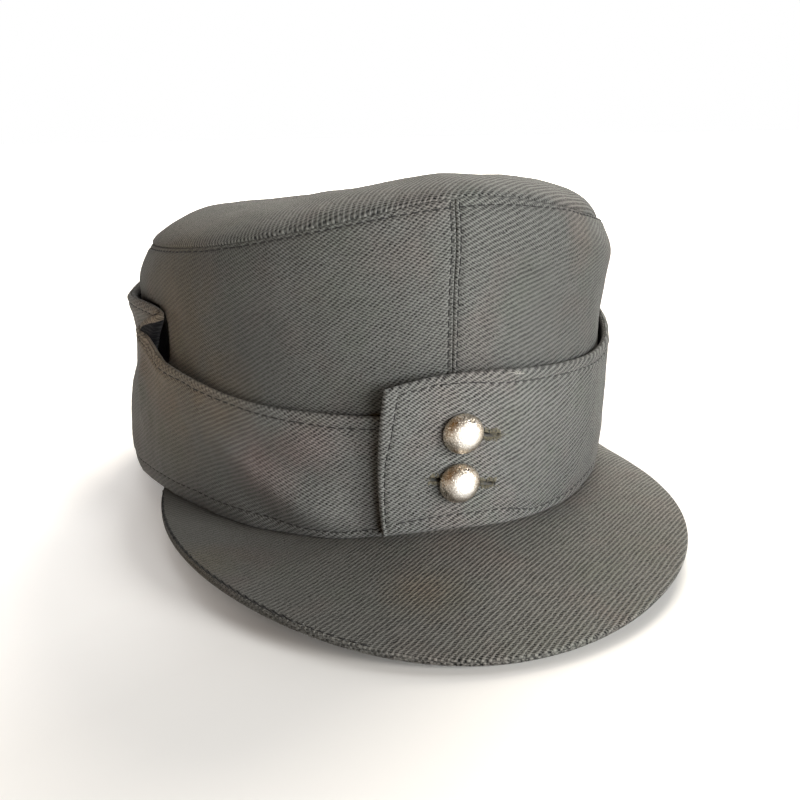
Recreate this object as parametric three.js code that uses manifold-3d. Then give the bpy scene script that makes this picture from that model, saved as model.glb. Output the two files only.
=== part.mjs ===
// A soft field cap of cloth, lying on a flat surface as it rests by itself.
// Millimetres, +Z up. The peak points to -Y and the wearer's left is +X.
// The shape is worked out in the cap's own level frame, then tipped back on its rear rim.
// Angles go round the cap from 0 at the centre front, positive towards the wearer's left.

import * as THREE from 'three';
import Module from 'manifold-3d';
import { mergeVertices } from 'three/addons/utils/BufferGeometryUtils.js';

const wasm = await Module();
wasm.setup();

// Driving dimensions
const GAP = 0.3;
const FLAP_GAP = 0.5;
const CROWN_WALL = 2.0;
const FLAP_WALL = 2.5;
const PEAK_WALL = 1.6;
const PEAK_TIP_WALL = 1.0;
const REST_TILT = 3;
const REST_SINK = 0.4;
const ORIGIN = { x: -3.35, y: -24.92 };

// Ovals: half width across, half length front to back, and how far the centre sits behind
const RIM = { halfWidth: 89.2, halfLength: 98.7, back: 0 };
const SEAM = { halfWidth: 82.1, halfLength: 100.5, back: -1.1, frontHeight: 96.2, backHeight: 74.7 };
const SEAM_OFFSET_ANGLE = 0.1;

// Out-of-round lobes: how many lobes go round, and their cosine and sine heights
const RIM_LOBES = [
  { turns: 2, cosine: -2.4, sine: 0 },
  { turns: 3, cosine: 1.2, sine: 0.2 },
  { turns: 4, cosine: 1.3, sine: -0.3 },
  { turns: 5, cosine: -0.2, sine: -0.2 },
];
const RIM_WAVES = [
  { turns: 2, cosine: -0.4, sine: 0 },
  { turns: 3, cosine: -0.4, sine: 0.2 },
  { turns: 5, cosine: 1.2, sine: -0.4 },
];
// The rim is pressed in on the wearer's left and behind the front overlap;
// the seam stands higher at the centre front
const RIM_PRESS = { angle: 88, spread: 28, depth: 6.6 };
const FRONT_RECESS = { angle: 0, spread: 22, depth: 1.4 };
const SEAM_CREST = { angle: 4, spread: 17, depth: 2.1 };
const SEAM_LOBES = [{ turns: 2, cosine: 0.6, sine: 0 }];
const SEAM_WAVES = [
  { turns: 2, cosine: 1.6, sine: 1.5 },
  { turns: 3, cosine: 1.3, sine: 0.3 },
  { turns: 4, cosine: 0.6, sine: 0 },
];

// Crown side: how far the wall swells out of the straight line from rim to seam,
// and the soft roll of cloth just under the seam
const SWELL = { front: 0.6, right: 3.2, left: 2.2, flatness: 6 };
const SHOULDER = { angle: 52, spread: 34, depth: 1.8, rest: 1.4, at: 0.9, height: 0.1, edge: 0.6 };

// Top panel: height of its dome above the seam, and how much more it rises at the left, the back
// and both sides; it is flat in the middle and turns down quickly to the seam
const DOME = { height: 16.2, left: 5.2, back: 3.0, sides: 2.8, squareness: 3.9, edge: 0.66 };
const DOME_RINGS = [1, 0.99, 0.965, 0.92, 0.84, 0.7, 0.5, 0.25];

// Peak: its outline beyond the rim, how far its edge drops below the rim,
// how its outline leans to one side, and how its edge curls up
const PEAK = { rootAngle: 73, halfWidth: 105.9, reach: 58.3, sweep: 88, bend: 1.3 };
const PEAK_DROP = { front: 13.1, shoulder: -3.5, left: -0.5, corner: -1.1, sharpness: 0.8 };
const PEAK_SKEW = { even: -1.8, odd: 4.0, lobe: -0.4, quarter: -0.6 };
const PEAK_LIFT = { left: 1.2, right: -1.6, front: 2.1 };

// Buttons: pebbled domes on shanks, one above the other a little left of centre
const BUTTON = { radius: 6.3, dome: 3.9, rim: 1.1, shank: 1.5, clear: 0.7 };
const BUTTONS = [
  { name: 'button_upper', angle: 0.7, height: 33.8 },
  { name: 'button_lower', angle: 0.2, height: 18.0 },
];
const BUTTONHOLE = { length: 22, width: 1.2, along: 2.0, slope: -12, eyelet: 1.9 };

// Flaps of the folded-up band, a row for each place along them.
// foot and tip: angles at the bottom and top edge; bow: how far the middle bends round;
// hem: the bottom edge's height above the rim; height: of the top edge above the rim's plane;
// stand and lift: how far the inner face stands off the crown at the bottom and top edge;
// belly: how far it bulges in between. A column that is left out is zero.
// The flap on the wearer's right runs from the centre back to its end beneath the other flap.
// Its top edge leaves the crown and curls back to it near -73 degrees.
const FLAP_RIGHT = [
  { foot: -179.8, tip: -179.8, height: 64.0, lift: 0.2, belly: 0.2 },
  { foot: -165, tip: -165, height: 64.4, lift: 0.4, belly: 0.3 },
  { foot: -148, tip: -148, height: 65.8, lift: 0.6, belly: 0.5 },
  { foot: -130, tip: -129, height: 68.0, lift: 0.8, belly: 0.7 },
  { foot: -112, tip: -110, height: 69.4, lift: 1.4, belly: 0.1 },
  { foot: -99, tip: -96, height: 69.6, lift: 1.4, belly: 0 },
  { foot: -91, tip: -86, height: 69.4, lift: 1.0, belly: 0 },
  { foot: -86, tip: -77, height: 68.2, lift: 0.5, belly: 0 },
  { foot: -83, tip: -71, height: 66.4, lift: 0.3, belly: 0.3 },
  { foot: -81, tip: -70.5, height: 64.0, lift: 2.2, belly: 0.8 },
  { foot: -79, tip: -73.2, height: 60.4, lift: 4.6, belly: 0.6 },
  { foot: -76, tip: -73.4, height: 56.4, lift: 5.6, belly: 0.5 },
  { foot: -71, tip: -69.5, height: 52.8, lift: 5.2, belly: 0.4 },
  { foot: -64, tip: -63.5, height: 49.4, lift: 3.6, belly: 0.4 },
  { foot: -56, tip: -56, height: 45.6, lift: 1.6, belly: 0.4 },
  { foot: -47, tip: -47, height: 42.6, lift: 0.5, belly: 0.5 },
  { foot: -37, tip: -37, height: 41.0, lift: 0.2, belly: 0.7 },
  { foot: -27, tip: -27, height: 40.2, lift: 0.2, belly: 1.2 },
  { foot: -17, tip: -17, height: 39.4, lift: 0.1, belly: 0.4 },
  { foot: -7, tip: -7, height: 38.8, lift: 0, belly: 0 },
  { foot: 3, tip: 3, height: 38.6, lift: 0, belly: 0 },
  { foot: 10, tip: 10, height: 38.4, lift: 0, belly: 0 },
];

// The flap on the wearer's left runs from its free end, over the other flap, to the centre back
const FLAP_LEFT = [
  { foot: -14.3, tip: -13.9, bow: -0.9, hem: 1.8, height: 49.3, stand: 3.4, lift: 5.6, belly: 0.6 },
  { foot: -10, tip: -9.6, bow: -0.5, hem: 1.7, height: 50.6, stand: 3.0, lift: 4.2, belly: 0.2 },
  { foot: -4, tip: -4, bow: -0.2, hem: 1.5, height: 51.7, stand: 2.8, lift: 3.2, belly: 0 },
  { foot: 2, tip: 2, hem: 1.2, height: 52.0, stand: 2.8, lift: 2.9, belly: 0 },
  { foot: 8, tip: 8, hem: 0.9, height: 51.7, stand: 2.8, lift: 2.8, belly: 0 },
  { foot: 13, tip: 13, hem: 0.6, height: 50.9, stand: 2.4, lift: 2.2, belly: 0.2 },
  { foot: 20, tip: 20, hem: 0.3, height: 49.8, stand: 1.2, lift: 1.0, belly: 0.3 },
  { foot: 29, tip: 29, height: 48.8, stand: 0.3, lift: 0.3, belly: 0.4 },
  { foot: 39, tip: 39, height: 48.1, lift: 0.3, belly: 0.5 },
  { foot: 47, tip: 47, height: 48.3, lift: 0.6, belly: 0.3 },
  { foot: 54, tip: 53, height: 49.8, lift: 1.2, belly: 0 },
  { foot: 61, tip: 59, height: 51.8, lift: 1.5, belly: 0 },
  { foot: 68, tip: 66, height: 54.8, lift: 1.1, belly: 0 },
  { foot: 75, tip: 73, height: 57.2, lift: 0.6, belly: 0 },
  { foot: 84, tip: 82, height: 60.6, lift: 0.4, belly: 0 },
  { foot: 95, tip: 94, height: 64.2, lift: 0.4, belly: 0.2 },
  { foot: 108, tip: 107, height: 66.6, lift: 0.7, belly: 0.5 },
  { foot: 124, tip: 124, height: 67.2, lift: 0.7, belly: 0.7 },
  { foot: 143, tip: 143, height: 66.2, lift: 0.6, belly: 0.5 },
  { foot: 162, tip: 162, height: 64.6, lift: 0.4, belly: 0.3 },
  { foot: 179.8, tip: 179.8, height: 64.0, lift: 0.2, belly: 0.2 },
];
const FLAP_STEPS = 2;
const FLAP_ROWS = [0, 0.1, 0.26, 0.46, 0.66, 0.85, 1];
const FLARE_POWER = 1.8;

const CROWN_STEP = 6;
const CROWN_ROWS = [0, 0.1, 0.26, 0.48, 0.68, 0.81, 0.89, 0.94, 0.975, 1];
const PEAK_COLUMNS = 30;
const PEAK_ROWS = [0, 0.16, 0.36, 0.58, 0.8, 1];
const BUTTON_SIDES = 24;
const DOME_STEPS = 5;

// Colours
const CLOTH_COLOUR = 0x65645c;
const METAL_COLOUR = 0xb9b0a0;

const radians = THREE.MathUtils.degToRad;
const mix = THREE.MathUtils.lerp;

// A wavy addition that goes round the cap
function waves(table, t) {
  const wave = (row) => row.cosine * Math.cos(row.turns * t) + row.sine * Math.sin(row.turns * t);
  return table.reduce((sum, row) => sum + wave(row), 0);
}

// A smooth bump round one angle
const bump = (row, t) => row.depth * Math.exp(-(((t - radians(row.angle)) / radians(row.spread)) ** 2));

// A point of an oval at an angle and height, moved out from it by a swell
function ovalPoint(oval, t, height, swell) {
  const x = (oval.halfWidth + swell) * Math.sin(t);
  const y = oval.back - (oval.halfLength + swell) * Math.cos(t);
  return new THREE.Vector3(x, y, height);
}

// Height of the cap's bottom edge at an angle
const rimHeight = (t) => waves(RIM_WAVES, t);

// The rim's own line at an angle, moved in by an inset
function rimPoint(t, height, inset) {
  return ovalPoint(RIM, t, height, waves(RIM_LOBES, t) - bump(RIM_PRESS, t) - inset);
}

// The crown's outer face at its bottom edge
function crownFoot(t) {
  return rimPoint(t, rimHeight(t), FLAP_WALL + GAP + bump(FRONT_RECESS, t));
}

// How far the seam stands above its even slope from front to back
const seamWave = (t) => waves(SEAM_WAVES, t) + bump(SEAM_CREST, t);

// The seam between the crown's side and its top panel
function seamPoint(t) {
  const level = mix(SEAM.frontHeight, SEAM.backHeight, (1 - Math.cos(t)) / 2);
  return ovalPoint(SEAM, t, level + seamWave(t), waves(SEAM_LOBES, t));
}

// Direction straight out of the cap at an angle
function outward(t) {
  return new THREE.Vector3(Math.sin(t) / RIM.halfWidth, -Math.cos(t) / RIM.halfLength, 0).normalize();
}

// The crown's outer face: up is 0 at the bottom edge and 1 at the seam
function crownFace(t, up) {
  const side = t < 0 ? SWELL.right : SWELL.left;
  const swell = mix(SWELL.front, side, Math.sin(t) ** 2) * (1 - Math.abs(2 * up - 1) ** SWELL.flatness);
  const belt = Math.exp(-(((up - SHOULDER.at) / SHOULDER.height) ** 2));
  const roll = belt * ((1 - up) / (1 - SHOULDER.at)) ** SHOULDER.edge;
  const shoulder = roll * (SHOULDER.rest + bump(SHOULDER, t));
  return crownFoot(t).lerp(seamPoint(t), up).addScaledVector(outward(t), swell + shoulder);
}

// The crown's outer face at a height instead
function crownAtHeight(t, height) {
  const foot = rimHeight(t);
  return crownFace(t, (height - foot) / (seamPoint(t).z - foot));
}

// A point of the domed top panel: reach is 0 at its middle and 1 at the seam
function domePoint(t, reach) {
  const seam = seamPoint(t);
  const x = seam.x * reach;
  const y = SEAM.back + (seam.y - SEAM.back) * reach;
  const along = (y - SEAM.back + SEAM.halfLength) / (2 * SEAM.halfLength);
  const level = mix(SEAM.frontHeight, SEAM.backHeight, along) + seamWave(t) * reach ** 2;
  const across = x / SEAM.halfWidth;
  const behind = (y - SEAM.back) / SEAM.halfLength;
  const rise = DOME.height + DOME.left * across + DOME.back * behind + DOME.sides * across ** 2;
  return new THREE.Vector3(x, y, level + rise * (1 - reach ** DOME.squareness) ** DOME.edge);
}

// Tip the level cap back on its rear rim and flatten what would go below the surface
function rest(point) {
  const tilt = radians(REST_TILT);
  const y = point.y - RIM.halfLength;
  const rested = new THREE.Vector3(
    point.x - ORIGIN.x,
    y * Math.cos(tilt) + point.z * Math.sin(tilt) + RIM.halfLength - ORIGIN.y,
    -y * Math.sin(tilt) + point.z * Math.cos(tilt) - REST_SINK,
  );
  rested.z = Math.max(rested.z, 0);
  return rested;
}

// Smooth value of one column of a table between its rows
function between(table, column, place) {
  const row = Math.min(Math.floor(place), table.length - 2);
  const step = place - row;
  const value = (index) => table[THREE.MathUtils.clamp(index, 0, table.length - 1)][column] ?? 0;
  const leave = (value(row + 1) - value(row - 1)) / 2;
  const arrive = (value(row + 2) - value(row)) / 2;
  const squared = step * step;
  const cubed = squared * step;
  return value(row) * (2 * cubed - 3 * squared + 1) + leave * (cubed - 2 * squared + step)
    + value(row + 1) * (3 * squared - 2 * cubed) + arrive * (cubed - squared);
}

// Normals of a grid of points, grid[column][row], that point the same way as a guide
function gridNormals(grid, guide, ring = false) {
  const last = grid.length - 1;
  return grid.map((column, i) => column.map((point, j) => {
    const before = grid[ring ? (i + last) % grid.length : Math.max(i - 1, 0)][j];
    const after = grid[ring ? (i + 1) % grid.length : Math.min(i + 1, last)][j];
    const below = column[Math.max(j - 1, 0)];
    const above = column[Math.min(j + 1, column.length - 1)];
    const normal = after.clone().sub(before).cross(above.clone().sub(below)).normalize();
    return normal.dot(guide(i, j)) < 0 ? normal.negate() : normal;
  }));
}

// Turn the normals of an open grid's two end columns so that its ends stay in their own planes
function squareEnds(normals, guide) {
  for (const i of [0, normals.length - 1]) {
    const across = guide(i).cross(new THREE.Vector3(0, 0, 1)).normalize();
    normals[i].forEach((normal) => normal.addScaledVector(across, -normal.dot(across)).normalize());
  }
}

// A grid moved along directions by a distance
function shifted(grid, directions, distance) {
  const move = (point, direction) => point.clone().addScaledVector(direction, distance);
  return grid.map((column, i) => column.map((point, j) => move(point, directions[i][j])));
}

// A closed geometry from points and triangles, with its faces pointing out
function closedGeometry(points, triangles) {
  let volume = 0;
  for (const [a, b, c] of triangles) {
    volume += points[a].dot(points[b].clone().cross(points[c]));
  }
  const ordered = volume < 0 ? triangles.map(([a, b, c]) => [a, c, b]) : triangles;
  const places = points.flatMap((point) => point.toArray());
  const geometry = new THREE.BufferGeometry();
  geometry.setAttribute('position', new THREE.Float32BufferAttribute(places, 3));
  geometry.setIndex(ordered.flat());
  geometry.computeVertexNormals();
  return geometry;
}

// A closed wall between two equal grids; a ring joins its last column to its first,
// and a lid closes the ring's top in a fan round its middle
function wall(outer, inner, { ring = false, lid = false } = {}) {
  const columns = outer.length;
  const rows = outer[0].length;
  const layer = columns * rows;
  const points = [...outer.flat(), ...inner.flat()];
  const triangles = [];
  const quad = (a, b, c, d) => triangles.push([a, b, c], [a, c, d]);
  const at = (side, i, j) => side * layer + (i % columns) * rows + j;
  const spans = ring ? columns : columns - 1;
  for (let i = 0; i < spans; i += 1) {
    for (let j = 0; j < rows - 1; j += 1) {
      quad(at(0, i, j), at(0, i + 1, j), at(0, i + 1, j + 1), at(0, i, j + 1));
      quad(at(1, i, j), at(1, i, j + 1), at(1, i + 1, j + 1), at(1, i + 1, j));
    }
    quad(at(0, i + 1, 0), at(0, i, 0), at(1, i, 0), at(1, i + 1, 0));
    if (!lid) {
      quad(at(0, i, rows - 1), at(0, i + 1, rows - 1), at(1, i + 1, rows - 1), at(1, i, rows - 1));
    }
  }
  if (!ring) {
    for (let j = 0; j < rows - 1; j += 1) {
      quad(at(0, 0, j), at(0, 0, j + 1), at(1, 0, j + 1), at(1, 0, j));
      quad(at(0, spans, j + 1), at(0, spans, j), at(1, spans, j), at(1, spans, j + 1));
    }
  }
  if (lid) {
    for (const side of [0, 1]) {
      const middle = points.length;
      const ringPoints = Array.from({ length: columns }, (_, i) => points[at(side, i, rows - 1)]);
      points.push(ringPoints.reduce((sum, p) => sum.add(p), new THREE.Vector3()).divideScalar(columns));
      for (let i = 0; i < columns; i += 1) {
        const pair = [at(side, i, rows - 1), at(side, i + 1, rows - 1)];
        triangles.push(side ? [middle, pair[1], pair[0]] : [middle, pair[0], pair[1]]);
      }
    }
  }
  return closedGeometry(points, triangles);
}

const restGrid = (grid) => grid.map((column) => column.map(rest));

// Angles from one place to another, on whole steps in between
function steppedAngles(start, end, step) {
  const angles = [start];
  for (let angle = Math.ceil((start + 1) / step) * step; angle < end - 1; angle += step) angles.push(angle);
  return [...angles, end].map(radians);
}

// One half of the crown's side, between two angles
function crownSide(start, end) {
  const angles = steppedAngles(start, end, CROWN_STEP);
  const outer = angles.map((t) => CROWN_ROWS.map((up) => crownFace(t, up)));
  const guide = (i) => outward(angles[i]);
  const normals = gridNormals(outer, guide);
  normals.forEach((column, i) => {
    column[0] = guide(i);
    column[column.length - 1] = guide(i);
  });
  squareEnds(normals, guide);
  return wall(restGrid(outer), restGrid(shifted(outer, normals, -CROWN_WALL)));
}

// The domed top panel, which stands on the seam
function crownTop() {
  const angles = Array.from({ length: 360 / CROWN_STEP }, (_, i) => radians(i * CROWN_STEP - 180));
  const outer = angles.map((t) => DOME_RINGS.map((reach) => domePoint(t, reach)));
  outer.flat().forEach((point) => { point.z += GAP; });
  const up = new THREE.Vector3(0, 0, 1);
  const normals = gridNormals(outer, (i) => outward(angles[i]).add(up), true);
  normals.forEach((column, i) => { column[0] = outward(angles[i]); });
  return wall(restGrid(outer), restGrid(shifted(outer, normals, -CROWN_WALL)), { ring: true, lid: true });
}

// Middle layer of a flap at a place along its table, with up from 0 to 1
function flapMiddle(table, place, up) {
  const foot = radians(between(table, 'foot', place));
  const tip = radians(between(table, 'tip', place));
  const middle = 4 * up * (1 - up);
  const t = mix(foot, tip, up) + radians(between(table, 'bow', place)) * middle;
  const height = mix(rimHeight(foot) + between(table, 'hem', place), between(table, 'height', place), up);
  const stand = mix(between(table, 'stand', place), between(table, 'lift', place), up ** FLARE_POWER);
  const away = FLAP_GAP + FLAP_WALL / 2 + stand + between(table, 'belly', place) * middle;
  return crownAtHeight(t, height).addScaledVector(outward(t), away);
}

// One flap of the folded-up band
function flap(table) {
  const places = Array.from({ length: (table.length - 1) * FLAP_STEPS + 1 }, (_, i) => i / FLAP_STEPS);
  const middle = places.map((place) => FLAP_ROWS.map((up) => flapMiddle(table, place, up)));
  const guide = (i) => outward(radians(between(table, 'foot', places[i])));
  const normals = gridNormals(middle, guide);
  normals.forEach((column, i) => { column[0] = guide(i); });
  squareEnds(normals, guide);
  const outer = shifted(middle, normals, FLAP_WALL / 2);
  const inner = shifted(middle, normals, -FLAP_WALL / 2);
  return wall(restGrid(outer), restGrid(inner));
}

// The peak's outer edge where its lower face ends; turn goes from -90 to 90 degrees
function peakEdge(turn) {
  const side = Math.sin(turn);
  const ahead = Math.cos(turn);
  const double = Math.sin(2 * turn);
  const root = radians(PEAK.rootAngle);
  const rootX = RIM.halfWidth * Math.sin(root);
  const rootY = -RIM.halfLength * Math.cos(root);
  const lobe = double ** 2 * (PEAK_SKEW.lobe + PEAK_SKEW.quarter * Math.cos(2 * turn));
  const skew = ahead * (PEAK_SKEW.even * side + PEAK_SKEW.odd * double);
  const x = (rootX + (PEAK.halfWidth - RIM.halfWidth) * ahead + lobe + skew) * side;
  const y = rootY - (RIM.halfLength + PEAK.reach + rootY + lobe) * ahead;
  const drop = PEAK_DROP.front * ahead ** PEAK_DROP.sharpness + PEAK_DROP.shoulder * 4 * ahead * side ** 2;
  const uneven = ahead * side * (PEAK_DROP.left + PEAK_DROP.corner * Math.abs(side));
  return new THREE.Vector3(x, y, uneven - drop);
}

// One cloth of the peak; depth is 0 for the upper cloth and 1 for the lower
function peakCloth(depth) {
  const turns = Array.from({ length: PEAK_COLUMNS + 1 }, (_, i) => (
    radians(mix(-PEAK.sweep, PEAK.sweep, i / PEAK_COLUMNS))
  ));
  const face = (layer) => turns.map((turn) => {
    const t = radians(PEAK.rootAngle) * turn / radians(90);
    const thickness = mix(PEAK_TIP_WALL, PEAK_WALL, Math.cos(turn));
    const below = depth * (thickness + GAP) + layer * thickness;
    const height = rimHeight(t) - GAP - below;
    const root = rimPoint(t, height, FLAP_WALL + GAP + CROWN_WALL);
    const rim = rimPoint(t, height, -GAP);
    const edge = peakEdge(turn);
    const tipLift = turn < 0 ? PEAK_LIFT.left : PEAK_LIFT.right;
    edge.z += mix(tipLift, PEAK_LIFT.front, Math.cos(turn) ** 2) + thickness - below;
    const spread = PEAK_ROWS.map((out) => {
      const point = rim.clone().lerp(edge, out);
      point.z = mix(rim.z, edge.z, out ** PEAK.bend);
      return point;
    });
    return [root, ...spread];
  });
  return wall(restGrid(face(0)), restGrid(face(1)));
}

// A solid for joining and cutting, from a closed geometry
function solid(geometry) {
  const bare = geometry.clone();
  bare.deleteAttribute('normal');
  bare.deleteAttribute('uv');
  const merged = mergeVertices(bare);
  return new wasm.Manifold(new wasm.Mesh({
    numProp: 3,
    vertProperties: new Float32Array(merged.attributes.position.array),
    triVerts: new Uint32Array(merged.index.array),
  }));
}

// A geometry from a solid
function meshed(body) {
  const { vertProperties, triVerts } = body.getMesh();
  const geometry = new THREE.BufferGeometry();
  geometry.setAttribute('position', new THREE.BufferAttribute(new Float32Array(vertProperties), 3));
  geometry.setIndex(new THREE.BufferAttribute(new Uint32Array(triVerts), 1));
  geometry.computeVertexNormals();
  return geometry;
}

// Where a button sits: a frame whose Z points out of the flap and whose Y points up it
function buttonFrame({ angle, height }) {
  const t = radians(angle);
  const layers = outward(t).multiplyScalar(FLAP_GAP + GAP + 2 * FLAP_WALL);
  const seat = rest(crownAtHeight(t, height).add(layers));
  const up = rest(crownAtHeight(t, height + 1).add(layers)).sub(seat).normalize();
  const across = up.clone().cross(outward(t)).normalize();
  const frame = new THREE.Matrix4().makeBasis(across, up, across.clone().cross(up));
  return frame.setPosition(seat);
}

// A domed button and its shank, which reaches through the buttonhole to the lower flap
function button() {
  const sphere = (BUTTON.radius ** 2 + BUTTON.dome ** 2) / (2 * BUTTON.dome);
  const spread = Math.asin(BUTTON.radius / sphere);
  const top = BUTTON.clear + BUTTON.rim + BUTTON.dome;
  const profile = [new THREE.Vector2(0, -FLAP_WALL), new THREE.Vector2(BUTTON.shank, -FLAP_WALL)];
  profile.push(new THREE.Vector2(BUTTON.shank, BUTTON.clear));
  profile.push(new THREE.Vector2(BUTTON.radius - BUTTON.rim / 2, BUTTON.clear));
  for (let i = DOME_STEPS; i > 0; i -= 1) {
    const turn = spread * i / DOME_STEPS;
    profile.push(new THREE.Vector2(sphere * Math.sin(turn), top - sphere * (1 - Math.cos(turn))));
  }
  profile.push(new THREE.Vector2(0, top));
  return new THREE.LatheGeometry(profile, BUTTON_SIDES).rotateX(Math.PI / 2);
}

// What is cut out of the flap for a button: a slot and the eyelet round its shank
function buttonhole(frame) {
  const half = BUTTONHOLE.width / 2;
  const reach = BUTTONHOLE.length / 2;
  const depth = 4 * FLAP_WALL;
  const shape = new THREE.Shape();
  shape.absarc(reach - half, 0, half, -Math.PI / 2, Math.PI / 2);
  shape.absarc(half - reach, 0, half, Math.PI / 2, 3 * Math.PI / 2);
  shape.closePath();
  const slot = new THREE.ExtrudeGeometry(shape, { depth, bevelEnabled: false, curveSegments: 4 });
  slot.translate(BUTTONHOLE.along, 0, -depth / 2).rotateZ(radians(BUTTONHOLE.slope)).applyMatrix4(frame);
  const eyelet = new THREE.CylinderGeometry(BUTTONHOLE.eyelet, BUTTONHOLE.eyelet, depth, BUTTON_SIDES);
  eyelet.rotateX(Math.PI / 2).applyMatrix4(frame);
  return solid(slot).add(solid(eyelet));
}

// The flap on the wearer's left with its two buttonholes
function flapLeft() {
  const holes = BUTTONS.map((row) => buttonhole(buttonFrame(row)));
  return meshed(holes.reduce((body, hole) => body.subtract(hole), solid(flap(FLAP_LEFT))));
}

const cloth = () => new THREE.MeshStandardMaterial({ color: CLOTH_COLOUR, roughness: 0.95, metalness: 0 });
const metal = () => new THREE.MeshStandardMaterial({ color: METAL_COLOUR, roughness: 0.35, metalness: 1 });

const cap = new THREE.Group();

// Put one named piece in the cap
function place(name, geometry, material) {
  const mesh = new THREE.Mesh(geometry, material);
  mesh.name = name;
  cap.add(mesh);
  return mesh;
}

const seamGapAngle = THREE.MathUtils.radToDeg(GAP / 2 / SEAM.halfLength);
place('crown_top', crownTop(), cloth());
place('crown_side_right', crownSide(-180 + seamGapAngle, SEAM_OFFSET_ANGLE - seamGapAngle), cloth());
place('crown_side_left', crownSide(SEAM_OFFSET_ANGLE + seamGapAngle, 180 - seamGapAngle), cloth());
place('flap_right', flap(FLAP_RIGHT), cloth());
place('flap_left', flapLeft(), cloth());
place('peak_top', peakCloth(0), cloth());
place('peak_under', peakCloth(1), cloth());
BUTTONS.forEach((row) => {
  place(row.name, button(), metal()).applyMatrix4(buttonFrame(row));
});

export default cap;
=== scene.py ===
"""A soft cloth field cap, lying on a pale surface: its cloth, seams, stitches and buttons.

The shapes are worked out in the cap's own level frame in millimetres, with the peak towards
-Y and the wearer's left towards +X, and are then tipped back on the rear rim as the cap lies.
"""

import logging
import math
from dataclasses import dataclass, field, replace
from enum import Enum
from functools import cache
from typing import Optional, Sequence

import bpy
import numpy as np
from mathutils import Matrix, Vector


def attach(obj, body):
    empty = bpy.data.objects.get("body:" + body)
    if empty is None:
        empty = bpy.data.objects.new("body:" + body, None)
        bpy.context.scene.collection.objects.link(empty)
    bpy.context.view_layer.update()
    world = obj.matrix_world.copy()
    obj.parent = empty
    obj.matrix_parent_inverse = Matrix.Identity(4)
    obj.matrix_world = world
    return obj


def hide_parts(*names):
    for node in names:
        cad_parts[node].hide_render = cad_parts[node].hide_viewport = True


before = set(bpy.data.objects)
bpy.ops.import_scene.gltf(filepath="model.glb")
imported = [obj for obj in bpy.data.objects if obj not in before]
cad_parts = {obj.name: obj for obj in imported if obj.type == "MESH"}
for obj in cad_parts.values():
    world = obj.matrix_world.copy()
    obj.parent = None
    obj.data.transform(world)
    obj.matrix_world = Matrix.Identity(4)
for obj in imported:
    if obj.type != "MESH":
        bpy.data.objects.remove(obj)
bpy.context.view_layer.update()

LOG = logging.getLogger("field_cap")
MM = 0.001
TAU = 2 * math.pi
WHITE = (1.0, 1.0, 1.0, 1.0)
Array = np.ndarray
Colour = tuple[float, float, float]
Piece = bpy.types.Object
Tree = bpy.types.NodeTree
Socket = bpy.types.NodeSocket
Outputs = bpy.types.NodeOutputs


# Sums on arrays


def eased(value: Array) -> Array:
    """A smooth step from 0 to 1."""
    value = np.clip(value, 0, 1)
    return value * value * (3 - 2 * value)


def ridge(away: Array, width: float) -> Array:
    """A smooth ridge, 1 along its middle."""
    return np.exp(-((away / width) ** 2))


def unit(ways: Array) -> Array:
    """Directions of length 1."""
    return ways / np.maximum(np.linalg.norm(ways, axis=-1, keepdims=True), 1e-12)


def arc_lengths(line: Array) -> Array:
    """Distances of a line's points from its first one, along the line."""
    return np.concatenate([[0], np.cumsum(np.linalg.norm(np.diff(line, axis=0), axis=1))])


def in_columns(along: Array, up: Array) -> tuple[Array, Array]:
    """Places of a sheet's mesh, from each column's place along the sheet and its places up it."""
    return np.broadcast_to(along[:, None], up.shape).copy(), up


# Form of the cap


@dataclass(frozen=True)
class Lobe:
    """One even wave that goes round the cap."""

    turns: int
    cosine: float
    sine: float


@dataclass(frozen=True)
class Bump:
    """A smooth bump round one angle, in degrees and millimetres."""

    angle: float
    spread: float
    depth: float

    def at(self, t: Array) -> Array:
        """The bump's depth at angles t in radians."""
        return self.depth * ridge(t - math.radians(self.angle), math.radians(self.spread))


@dataclass(frozen=True)
class Oval:
    """An oval round the cap, in millimetres."""

    half_width: float
    half_length: float
    back: float = 0.0

    def point(self, t: Array, height: Array, swell: Array) -> Array:
        """Points of the oval at angles t and heights, moved out by a swell."""
        x = (self.half_width + swell) * np.sin(t)
        y = self.back - (self.half_length + swell) * np.cos(t)
        return np.stack(np.broadcast_arrays(x, y, height), axis=-1)


def lobes(table: Sequence[Lobe], t: Array) -> Array:
    """The sum of the waves of a table at angles t."""
    return sum(row.cosine * np.cos(row.turns * t) + row.sine * np.sin(row.turns * t) for row in table)


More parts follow.
